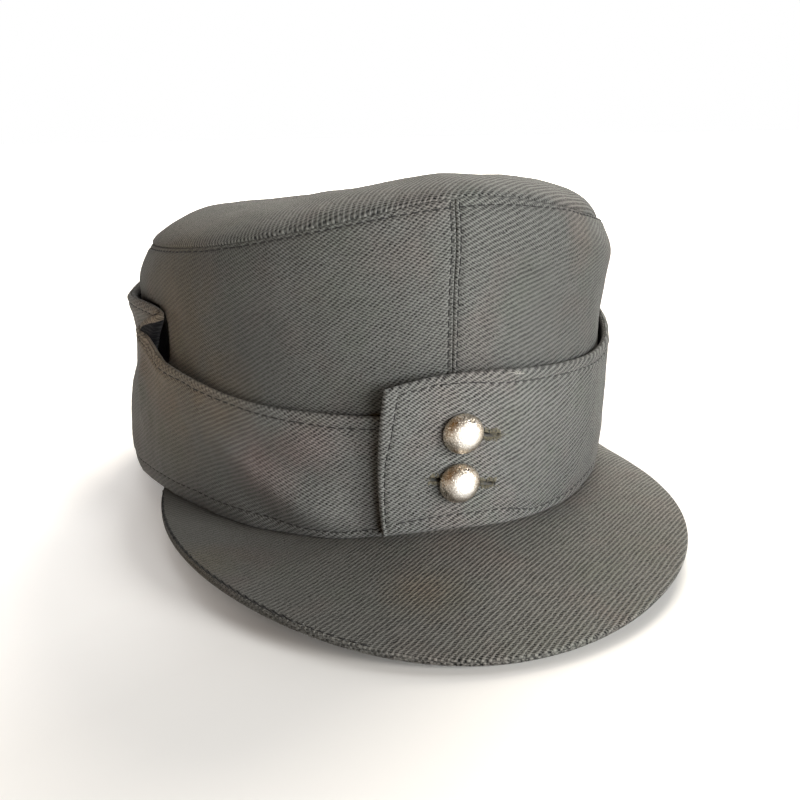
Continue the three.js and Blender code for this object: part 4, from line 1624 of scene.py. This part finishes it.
@dataclass(frozen=True)
class PaleSurface(Finish):
    """The surface that the cap lies on: a painted shadow in front, and a painted light glow on the left
    and far off, where it turns white.
    """

    name: str = "pale_surface"
    far: tuple[float, float] = (0.4, 1.1)
    ahead: tuple[float, float, float] = (-0.6, 1.0, 0.0)
    front_shadow: Colour = (0.805, 0.8, 0.78)

    def paint(self, m: Maths, shader: bpy.types.Node) -> None:
        """Paints a shadow on the surface in front and makes it glow, as painted light, on the left and
        far off where it runs out to white.
        """
        place = m.node("TexCoord")["Object"]
        speck = m.noise(place, 30.0, 4.0, 0.6)["Fac"]
        slope = m.measure("DOT_PRODUCT", place, self.ahead)
        pale = m.mixed(speck, (0.90, 0.885, 0.86, 1.0), (0.93, 0.92, 0.90, 1.0))
        # Painted shadow on the surface in front of the cap.
        front = m.ranged(slope, -0.085, -0.01, 1.0, 0.0)
        far = m.ranged(m.measure("LENGTH", place), *self.far, 0.0, 1.0)
        left = m.ranged(slope, -0.06, 0.13, 0.0, 0.36)
        looks = {
            "Base Color": m.mixed(front, pale, (*self.front_shadow, 1.0)),
            "Roughness": Gloss.TABLE.value,
            # Painted light: the surface glows on the left and far off.
            "Emission Color": WHITE,
            "Emission Strength": m.sum("MAXIMUM", far, left),
        }
        m.fill(shader, looks)


# Pieces


@dataclass
class Button:
    """A domed button with a pebbled face on a shank."""

    node: str
    angle: float
    height: float
    radius: float = 6.3
    dome: float = 3.9
    rim: float = 1.1
    shank: float = 1.5
    shank_end: tuple[float, float] = (-2.4, -2.5)
    tip_radius: float = 0.01
    clear: float = 0.7
    pebbles: int = 1500
    pebble_height: float = 0.07
    pebble_radius: float = 0.26
    smooth_border: float = 0.5
    rings: int = 84
    sides: int = 220
    seed: int = 3

    def frame(self) -> tuple[Array, Array, Array, Array]:
        """The seat in the level frame, and the ways across, up and out of the flap."""
        t = np.array(math.radians(self.angle))
        layers = FORM.outward(t) * (FORM.flap_gap + FORM.gap + 2 * FORM.flap_wall)
        seat = FORM.crown_at_height(t, np.array(self.height)) + layers
        above = FORM.crown_at_height(t, np.array(self.height + 1.0)) + layers
        up = unit(above - seat)
        across = unit(np.cross(up, FORM.outward(t)))
        return seat, across, up, np.cross(across, up)

    def _profile(self) -> tuple[Array, Array, Array]:
        """The rings' radii and heights from the top to the shank's end, and the dome's slopes."""
        sphere = (self.radius**2 + self.dome**2) / (2 * self.dome)
        slopes = math.asin(self.radius / sphere) * np.linspace(0, 1, self.rings)
        top, half = self.clear + self.rim + self.dome, self.rim / 2
        roll = np.radians(np.linspace(20, 180, 9))
        rim_r = self.radius - half + half * np.sin(roll)
        rim_z = self.clear + half + half * np.cos(roll)
        back_r = [self.radius * 0.6, self.shank + 0.3, *[self.shank] * 3, self.tip_radius]
        back_z = [self.clear, self.clear, self.clear - 0.3, 0.0, *self.shank_end]
        radii = np.concatenate([sphere * np.sin(slopes), rim_r, back_r])
        radii[0] = 2 * self.tip_radius
        return radii, np.concatenate([top - sphere * (1 - np.cos(slopes)), rim_z, back_z]), slopes

    def build(self, finish: PebbledMetal) -> Piece:
        """The button's mesh: a fine pebbled dome, a rolled rim, a flat back and the shank."""
        radii, heights, slopes = self._profile()
        slope = slopes[:, None]
        sides = self.sides
        angle = np.arange(sides) * TAU / sides
        x, y = radii[:, None] * np.cos(angle), radii[:, None] * np.sin(angle)
        z = heights[:, None] + 0 * angle
        fine = slice(0, self.rings)
        near = np.full((self.rings, sides), 9.0)
        for px, py in self._pebbles():
            near = np.minimum(near, np.hypot(x[fine] - px, y[fine] - py))
        bump = self.pebble_height * np.clip(1 - (near / self.pebble_radius) ** 2, -0.3, 1)
        bump = bump * np.clip((self.radius - radii[fine][:, None]) / self.smooth_border, 0, 1)
        z[fine] += bump * np.cos(slope)
        x[fine] += bump * np.sin(slope) * np.cos(angle)
        y[fine] += bump * np.sin(slope) * np.sin(angle)
        seat, across, up, out = self.frame()
        local = np.stack([x, y, z], axis=-1)
        world = seat + local[..., :1] * across + local[..., 1:2] * up + local[..., 2:] * out
        rings = len(radii)
        index = np.arange(rings * sides).reshape(rings, sides)
        turned = np.roll(index, -1, axis=1)
        faces = np.stack([index[:-1], turned[:-1], turned[1:], index[1:]], axis=-1).reshape(-1, 4)
        points = FORM.rest(world).reshape(-1, 3)
        poles = [FORM.rest(world[k].mean(0)) for k in (0, -1)]
        points = np.concatenate([points, np.array(poles)])
        lids = [
            [line[i], line[(i + 1) % sides], line[(i + 2) % sides], rings * sides + k]
            for k, line in enumerate((index[0][::-1], index[-1]))
            for i in range(0, sides, 2)
        ]
        faces = np.concatenate([faces, np.array(lids)])
        if signed_volume(points, faces) < 0:
            faces = faces[:, ::-1]
        flat = np.concatenate([local[..., :2].reshape(-1, 2), np.zeros((2, 2))])
        return mesh_piece(self.node + "_metal", points, faces, flat, finish)

    def _pebbles(self) -> Array:
        """Even but patternless places of the pebbles over the face."""
        draw = np.random.default_rng(self.seed)
        places = draw.uniform(-self.radius, self.radius, (self.pebbles, 2))
        return places[np.hypot(places[:, 0], places[:, 1]) < self.radius]


@dataclass
class Buttonhole:
    """A slit through the flap, bound with thread and worn to loose ends."""

    button: Button
    length: float = 22.0
    width: float = 1.2
    along: float = 2.0
    slope: float = -12.0
    cut: tuple[float, float] = (-3.4, 1.6)
    bite: float = 1.5
    thread: float = 0.16
    stitches: int = 54
    loose_ends: int = 34
    sides: int = 5
    seed: int = 11

    def _local(self, u: Array, v: Array) -> tuple[Array, Array]:
        """Places on the flap from places along and across the slit."""
        c, s = math.cos(math.radians(self.slope)), math.sin(math.radians(self.slope))
        u = u + self.along
        return u * c - v * s, u * s + v * c

    def cutter(self) -> Piece:
        """The solid that cuts the slit."""
        half, reach = self.width / 2, self.length / 2
        turn = np.radians(np.linspace(-90, 90, 7))
        u = np.concatenate([reach - half + half * np.cos(turn), -(reach - half) - half * np.cos(turn)])
        v = np.concatenate([half * np.sin(turn), -half * np.sin(turn)])
        x, y = self._local(u, v)
        seat, across, up, out = self.button.frame()
        layers = [seat + x[:, None] * across + y[:, None] * up + depth * out for depth in self.cut]
        points = FORM.rest(np.concatenate(layers))
        count = len(u)
        mesh = bpy.data.meshes.new("slit")
        faces = [list(range(count))[::-1], list(range(count, 2 * count))]
        faces += [[i, (i + 1) % count, count + (i + 1) % count, count + i] for i in range(count)]
        mesh.from_pydata(points.tolist(), [], faces)
        return placed("slit", mesh)

    def build(self, flap: Flap, finish: ThreadFinish) -> Piece:
        """The thread round the slit, and its loose ends."""
        draw = np.random.default_rng(self.seed)
        count, ends = self.stitches, self.loose_ends
        runs, lifts = [], []
        share = np.linspace(0, 1, 7)
        for sign in (-1, 1):
            u = np.linspace(-self.length / 2, self.length / 2, count) + draw.uniform(-0.08, 0.08, count)
            reach = self.bite * draw.uniform(0.35, 1.25, count)
            lean = draw.uniform(-0.9, 0.9, count)
            line_u = u[:, None] + lean[:, None] * share
            line_v = sign * (self.width / 2 - 0.1 + reach[:, None] * share)
            runs.append((line_u, line_v))
            lifts.append(0.32 * np.sin(math.pi * (0.25 + 0.75 * share)) * np.ones((count, 1)) - 0.08)
        base_u = draw.uniform(5.0, self.length / 2 + 1.0, ends)
        base_u = base_u * draw.choice([-1, 1], ends, p=[0.35, 0.65])
        way = draw.uniform(0, TAU, ends)
        reach = draw.uniform(0.8, 2.6, ends)
        curl = draw.uniform(-1.2, 1.2, ends)
        bent = way[:, None] + curl[:, None] * share
        out_u = reach[:, None] * share * np.cos(bent)
        out_v = reach[:, None] * share * np.sin(bent) * 0.7
        runs.append((base_u[:, None] + out_u, draw.uniform(-0.8, 0.8, ends)[:, None] + out_v))
        lifts.append(draw.uniform(0.2, 0.8, ends)[:, None] * share + 0.1)
        parts = []
        radii = (self.thread, self.thread, self.thread * 0.5)
        seat, across, up, out = self.button.frame()
        for (u, v), lift, radius in zip(runs, lifts, radii):
            x, y = self._local(u, v)
            line = seat + x[..., None] * across + y[..., None] * up
            line = line + out * self._surface_height(flap, line)[..., None] + out * lift[..., None]
            normals = np.broadcast_to(FORM.turn_back(out), line.shape)
            parts.append(thread_tubes(FORM.rest(line), normals, radius * MM, self.sides))
        return mesh_piece(self.button.node + "_hole_thread", *joined(parts), finish=finish)

    def _surface_height(self, flap: Flap, line: Array) -> Array:
        """How far the flap's outer face stands above the button's seat at points on the seat."""
        seat, across, _, out = self.button.frame()
        middle = flap.place_of(math.degrees(math.atan2(seat[0], -seat[1])))
        a = middle + (line - seat) @ across
        height = 20.0
        low = flap.middle(np.array([middle]), np.array([height]))[0]
        d = height + (line[..., 2] - low[2])
        away = flap.wall / 2 + flap.relief(a, d) + flap.lift(a, d)
        skin = flap.middle(a, d) + flap.normal(a, d) * away[..., None]
        return (skin - line) @ out


@dataclass
class Lint:
    """A few pale fibres caught on a flap's top edge."""

    angle: float = 12.0
    reach: float = 2.6
    radius: float = 0.07
    fibres: int = 5
    seed: int = 21

    def build(self, flap: Flap, finish: ThreadFinish) -> Piece:
        """The fibres' mesh."""
        draw = np.random.default_rng(self.seed)
        share = np.linspace(0, 1, 8)
        ways = ((0.2, 1.5), (-1.6, 1.6), (-0.8, 0.8))
        first, curl, apart = (draw.uniform(low, high, (self.fibres, 1)) for low, high in ways)
        way = first + curl * share
        start = flap.place_of(self.angle) + apart
        a = start + self.reach * share * np.cos(way)
        d = flap.length_at(a) - 1.4 + 0.5 * self.reach * share * np.sin(way)
        points, normals = flap.face(a, d)
        line = points + normals * (0.15 + 0.5 * np.sin(math.pi * share))[:, None] * MM
        return mesh_piece("lint", *thread_tubes(line, normals, self.radius * MM, 5), finish=finish)


@dataclass(frozen=True)
class Lamp:
    """A soft round light that faces the cap, in metres and watts."""

    name: str
    place: tuple[float, float, float]
    size: float
    power: float
    colour: Colour = (1.0, 1.0, 1.0)

    def build(self) -> None:
        """Puts the light in the scene."""
        data = bpy.data.lights.new(self.name, "AREA")
        data.shape = "DISK"
        data.size = self.size
        data.energy = self.power
        data.color = self.colour
        light = placed(self.name, data)
        light.location = self.place
        light.rotation_euler = (-Vector(self.place)).to_track_quat("-Z", "Y").to_euler()


@dataclass
class Studio:
    """Camera, soft lights and the pale surface, in metres and degrees."""

    eye: tuple[float, float, float] = (-0.08104, -0.31275, 0.13542)
    azimuth: float = -15.73
    elevation: float = 17.96
    roll: float = -0.53
    lens: float = 40.48
    sensor: float = 36.0
    floor_half: float = 4.0
    left_room: tuple[float, ...] = (0.22, 0.12, 0.04, 1.0)
    right_room: tuple[float, ...] = (0.03, 0.03, 0.03, 1.0)
    lamps: tuple[Lamp, ...] = (
        Lamp("front_right", (1.15, -1.3, 0.55), 0.8, 36.0, (1.0, 1.0, 0.98)),
        Lamp("right", (1.6, -0.2, 0.6), 1.0, 3.0),
        Lamp("back_right", (1.0, 1.3, 1.2), 1.2, 55.0, (1.0, 0.92, 0.81)),
        Lamp("low_front", (0.35, -1.7, 0.3), 0.8, 22.0, (0.95, 0.97, 1.0)),
        Lamp("above", (0.2, 0.2, 1.8), 1.2, 6.0),
    )

    def camera(self) -> None:
        """The camera at the photograph's angle."""
        az, el, roll = (math.radians(v) for v in (self.azimuth, self.elevation, self.roll))
        back = np.array([math.sin(az) * math.cos(el), -math.cos(az) * math.cos(el), math.sin(el)])
        right = np.array([math.cos(az), math.sin(az), 0.0])
        up = np.cross(back, right)
        x_way = right * math.cos(roll) + up * math.sin(roll)
        y_way = up * math.cos(roll) - right * math.sin(roll)
        data = bpy.data.cameras.new("camera")
        data.lens = self.lens
        data.sensor_width = self.sensor
        data.clip_start = 0.01
        camera = placed("camera", data)
        matrix = Matrix(np.column_stack([x_way, y_way, back]).tolist()).to_4x4()
        matrix.translation = self.eye
        camera.matrix_world = matrix
        bpy.context.scene.camera = camera

    def surroundings(self) -> None:
        """The bright room: white behind the cap, dimmer and warmer on the left."""
        world = bpy.data.worlds.new("pale_room")
        world.use_nodes = True
        tree = world.node_tree
        m = Maths(tree)
        way = m.parts(m.node("TexCoord")["Generated"])
        behind = m.ranged(way["Y"], 0.1, 0.55, 0.0, 1.0)
        right = m.ranged(way["X"], -0.5, 0.1, 0.0, 1.0)
        colour = m.mixed(behind, m.mixed(right, self.left_room, self.right_room), WHITE)
        m.fill(tree.nodes["Background"], {"Color": colour, "Strength": 1.0})
        bpy.context.scene.world = world

    def floor(self) -> None:
        """A plain pale surface."""
        h = self.floor_half
        points = np.array([[-h, -h, 0], [h, -h, 0], [h, h, 0], [-h, h, 0]], float)
        mesh_piece("floor", points, np.array([[0, 1, 2, 3]]), finish=PaleSurface())

    def build(self) -> None:
        """Sets the scene up."""
        self.surroundings()
        self.floor()
        for lamp in self.lamps:
            lamp.build()
        scene = bpy.context.scene
        scene.view_settings.view_transform = "Standard"
        scene.view_settings.look = "None"


CROWN_RIGHT_FOLDS = (
    Dent((-90, 43), (-66.6, 67.6), 5.8),
    Fold((-100, 47), (-88, 53), 13.0, -2.4),
    Fold((-62, 78), (-52, 48), 6.5, 1.0),
)
CROWN_LEFT_FOLDS = (Fold((50, 92), (80, 92), 9.0, 1.4), Fold((50, 66), (80, 66), 10.0, 1.2))
FLAP_RIGHT_FOLDS = (
    Fold((-100, 44), (-87, 50), 13.0, -3.3),
    Fold((-73.5, 50), (-80, 26), 2.2, 1.3),
    Fold((-56, 36), (-22, 4), 6.0, 2.4),
    Fold((-50, 17), (-31, -2), 5.0, -1.0),
    Fold((-40, 33), (-17, 27), 5.0, 0.8),
)
TOP_FOLDS = (Fold((-60, -15), (-54, 50), 12.0, 1.4),)
FLAP_RIGHT_STITCHES = (
    (-180, 3.2, 6.0),
    (-90, 2.6, 6.0),
    (-73, 2.3, 6.0),
    (-57, 2.1, 6.8),
    (-45, 2.4, 6.0),
    (-32, 3.3, 3.9),
    (-22, 3.8, 2.8),
    (10, 3.8, 2.5),
)
FLAP_LEFT_STITCHES = (
    (-14, 3.0, 4.0),
    (-5, 2.4, 5.0),
    (2, 2.9, 5.3),
    (8.5, 4.0, 5.3),
    (12, 4.0, 5.0),
    (18.5, 3.8, 2.9),
    (40, 3.5, 3.6),
    (180, 3.2, 5.0),
)
RIGHT_CROWN_RIBS = ((-100, 27), (-70, 28), (-45, 30), (-20, 37), (0, 43))
LEFT_CROWN_RIBS = ((0, 29), (12, 22), (35, 13), (60, 12))
RIGHT_FLAP_RIBS = ((-90, 30), (-70, 30), (-45, 27), (-25, 34), (0, 38))
LEFT_FLAP_RIBS = ((-14, 33), (5, 28), (25, 21), (60, 20))


@dataclass
class FieldCap:
    """The whole cap: its sheets, stitches and buttons."""

    seam_thread: Thread = Thread()
    side_twill: TwillCloth = TwillCloth("side_twill")
    top_twill: TwillCloth = TwillCloth(
        "crown_top_twill", angle=CrownTop.rib_angle, pitch=1.5, faded=1.0, full=1.0, painted_shade_left=1.0
    )
    # Painted light: the flaps' ribs are painted lighter than the crown's.
    flap_twill: TwillCloth = TwillCloth(
        "flap_twill",
        pitch=1.36,
        rib_light=(0.224, 0.226, 0.212),
        full=1.0,
        painted_shade_right=0.64,
        inside=(0.03, 0.035, 0.06),
    )
    peak_twill: TwillCloth = TwillCloth(
        "peak_twill",
        angle=38.0,
        pitch=1.36,
        rib_light=(0.196, 0.193, 0.174),
        full=1.0,
        painted_shade_left=0.6,
        painted_shade_right=0.98,
    )
    dark_thread: ThreadFinish = ThreadFinish("dark_grey_thread", (0.011, 0.0105, 0.01))
    hole_thread: ThreadFinish = ThreadFinish("olive_thread", (0.15, 0.135, 0.09))
    lint: ThreadFinish = ThreadFinish("pale_fibre", (0.55, 0.53, 0.48))
    metal: PebbledMetal = PebbledMetal()
    pieces: dict[str, Piece] = field(default_factory=dict)

    def keep(self, piece: Piece, *nodes: str, slot: str = "cloth") -> Piece:
        """Rides a piece on the cap, keeps it, and hides the solids that it stands for."""
        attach(piece, "root")
        if nodes:
            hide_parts(*nodes)
        self.pieces[piece.name] = piece
        LOG.info("%s: %d faces", piece.name, len(piece.data.polygons))
        return piece

    def row(self, sheet: Sheet, seed: int, a: Array, d: Array) -> tuple[Array, Array]:
        """A row of stitches in the seam thread, as points and faces."""
        return StitchRow(sheet, self.seam_thread, seed).tubes(a, d)

    def stitched(self, name: str, rows: Sequence[tuple[Array, Array]]) -> Piece:
        """One piece of all the stitches of a sheet."""
        return self.keep(mesh_piece(name, *joined(rows), finish=self.dark_thread))

    def build_crown(self) -> None:
        """The crown's two sides and its top."""
        sides = (
            ("crown_side_right", -180, 0, CROWN_RIGHT_FOLDS, RIGHT_CROWN_RIBS),
            ("crown_side_left", 0, 180, CROWN_LEFT_FOLDS, LEFT_CROWN_RIBS),
        )
        for number, (node, start, end, folds, ribs) in enumerate(sides):
            side = CrownSide(node + "_cloth", start, end, folds)
            side.seed, side.ribs = 50 + number, ribs
            self.keep(side.build(self.side_twill), node)
            a = np.linspace(side.arcs[0] + 0.5, side.arcs[-1] - 0.5, 900)
            rows = [self.row(side, 100 + number, a, side.length_at(a) - side.seam_stitch_depth(a))]
            front = math.copysign(side.front_stitch, side.arcs[-1] + side.arcs[0])
            d = np.linspace(30, float(side.length_at(np.array([0.0]))[0]) - 0.8, 300)
            rows.append(self.row(side, 102 + number, np.full_like(d, front), d))
            stitches = self.stitched(node + "_stitches", rows)
        top = CrownTop(TOP_FOLDS)
        self.keep(top.build(self.top_twill), "crown_top")

    def build_flaps(self) -> None:
        """The two flaps of the band with their stitches."""
        right = Flap("flap_right_cloth", FLAP_RIGHT, FLAP_RIGHT_STITCHES, False, FLAP_RIGHT_FOLDS)
        left = Flap("flap_left_cloth", FLAP_LEFT, FLAP_LEFT_STITCHES, True)
        buttons = (Button("button_upper", 0.7, 33.8, seed=3), Button("button_lower", 0.2, 18.0, seed=4))
        right.seed, left.seed = 60, 61
        right.roll = (-108, -58)
        right.ribs, left.ribs = RIGHT_FLAP_RIBS, LEFT_FLAP_RIBS
        self.keep(right.build(self.flap_twill), "flap_right")
        cloth = left.build(self.flap_twill)
        upper, lower = buttons
        holes = (
            Buttonhole(upper, length=17.0, along=4.6, seed=11),
            Buttonhole(lower, along=1.6, seed=12),
        )
        for hole in holes:
            self.cut(cloth, hole.cutter())
        self.keep(cloth, "flap_left")
        for flap, start, node in ((right, 3.0, "flap_right"), (left, 5.0, "flap_left")):
            a = np.linspace(start, flap.arcs[-1] - 1.0, 1100)
            rows = [
                self.row(flap, 110, a, flap.length_at(a) - flap.top_stitch_depth(a)),
                self.row(flap, 111, a, flap.bottom_stitch_height(a)),
            ]
            if flap.free_end:
                d = np.linspace(4.2, float(flap.length_at(np.array([5.0]))[0]) - 3.2, 300)
                rows.append(self.row(flap, 112, flap.end_stitch_inset(d), d))
            self.stitched(node + "_stitches", rows)
        for button, hole in zip(buttons, holes):
            self.keep(button.build(self.metal), button.node, slot="button_metal")
            self.keep(hole.build(left, self.hole_thread))
        self.keep(Lint().build(left, self.lint))

    def cut(self, piece: Piece, cutter: Piece) -> None:
        """Cuts a solid out of a piece and removes the solid."""
        modifier = piece.modifiers.new("slit", "BOOLEAN")
        modifier.operation = "DIFFERENCE"
        modifier.solver = "EXACT"
        modifier.object = cutter
        graph = bpy.context.evaluated_depsgraph_get()
        cut = bpy.data.meshes.new_from_object(piece.evaluated_get(graph))
        piece.modifiers.clear()
        piece.data = cut
        bpy.data.objects.remove(cutter)

    def build_peak(self) -> None:
        """The peak's two cloths and its edge stitches."""
        top, under = Peak("peak_top_cloth", 0), Peak("peak_under_cloth", 1)
        self.keep(top.build(self.peak_twill), "peak_top")
        self.keep(under.build(self.peak_twill), "peak_under")
        a = np.linspace(-top.form.sweep + 1, -22, 700)
        rows = [self.row(top, 120, a, np.interp(a, top.turns, top.widths) - top.stitch_inset(a))]
        share = np.linspace(0, 1, 7)
        turns = np.linspace(-86, -38, 27)[:, None] + 2.4 * share
        away = 0.1 + 1.3 * (1 - share)
        points, normals = top.face(turns, np.interp(turns, top.turns, top.widths) - away)
        rows.append(thread_tubes(points + normals * 0.12 * MM, normals, 0.2 * MM, 6))
        self.stitched("peak_stitches", rows)

    def build(self) -> None:
        """Builds every piece."""
        self.build_crown()
        self.build_flaps()
        self.build_peak()


def main() -> None:
    """Builds the studio and the cap."""
    logging.basicConfig(level=logging.INFO, format="%(name)s: %(message)s")
    studio = Studio()
    studio.camera()
    FieldCap().build()
    studio.build()
    bpy.context.view_layer.update()


if __name__ == "__main__":
    main()
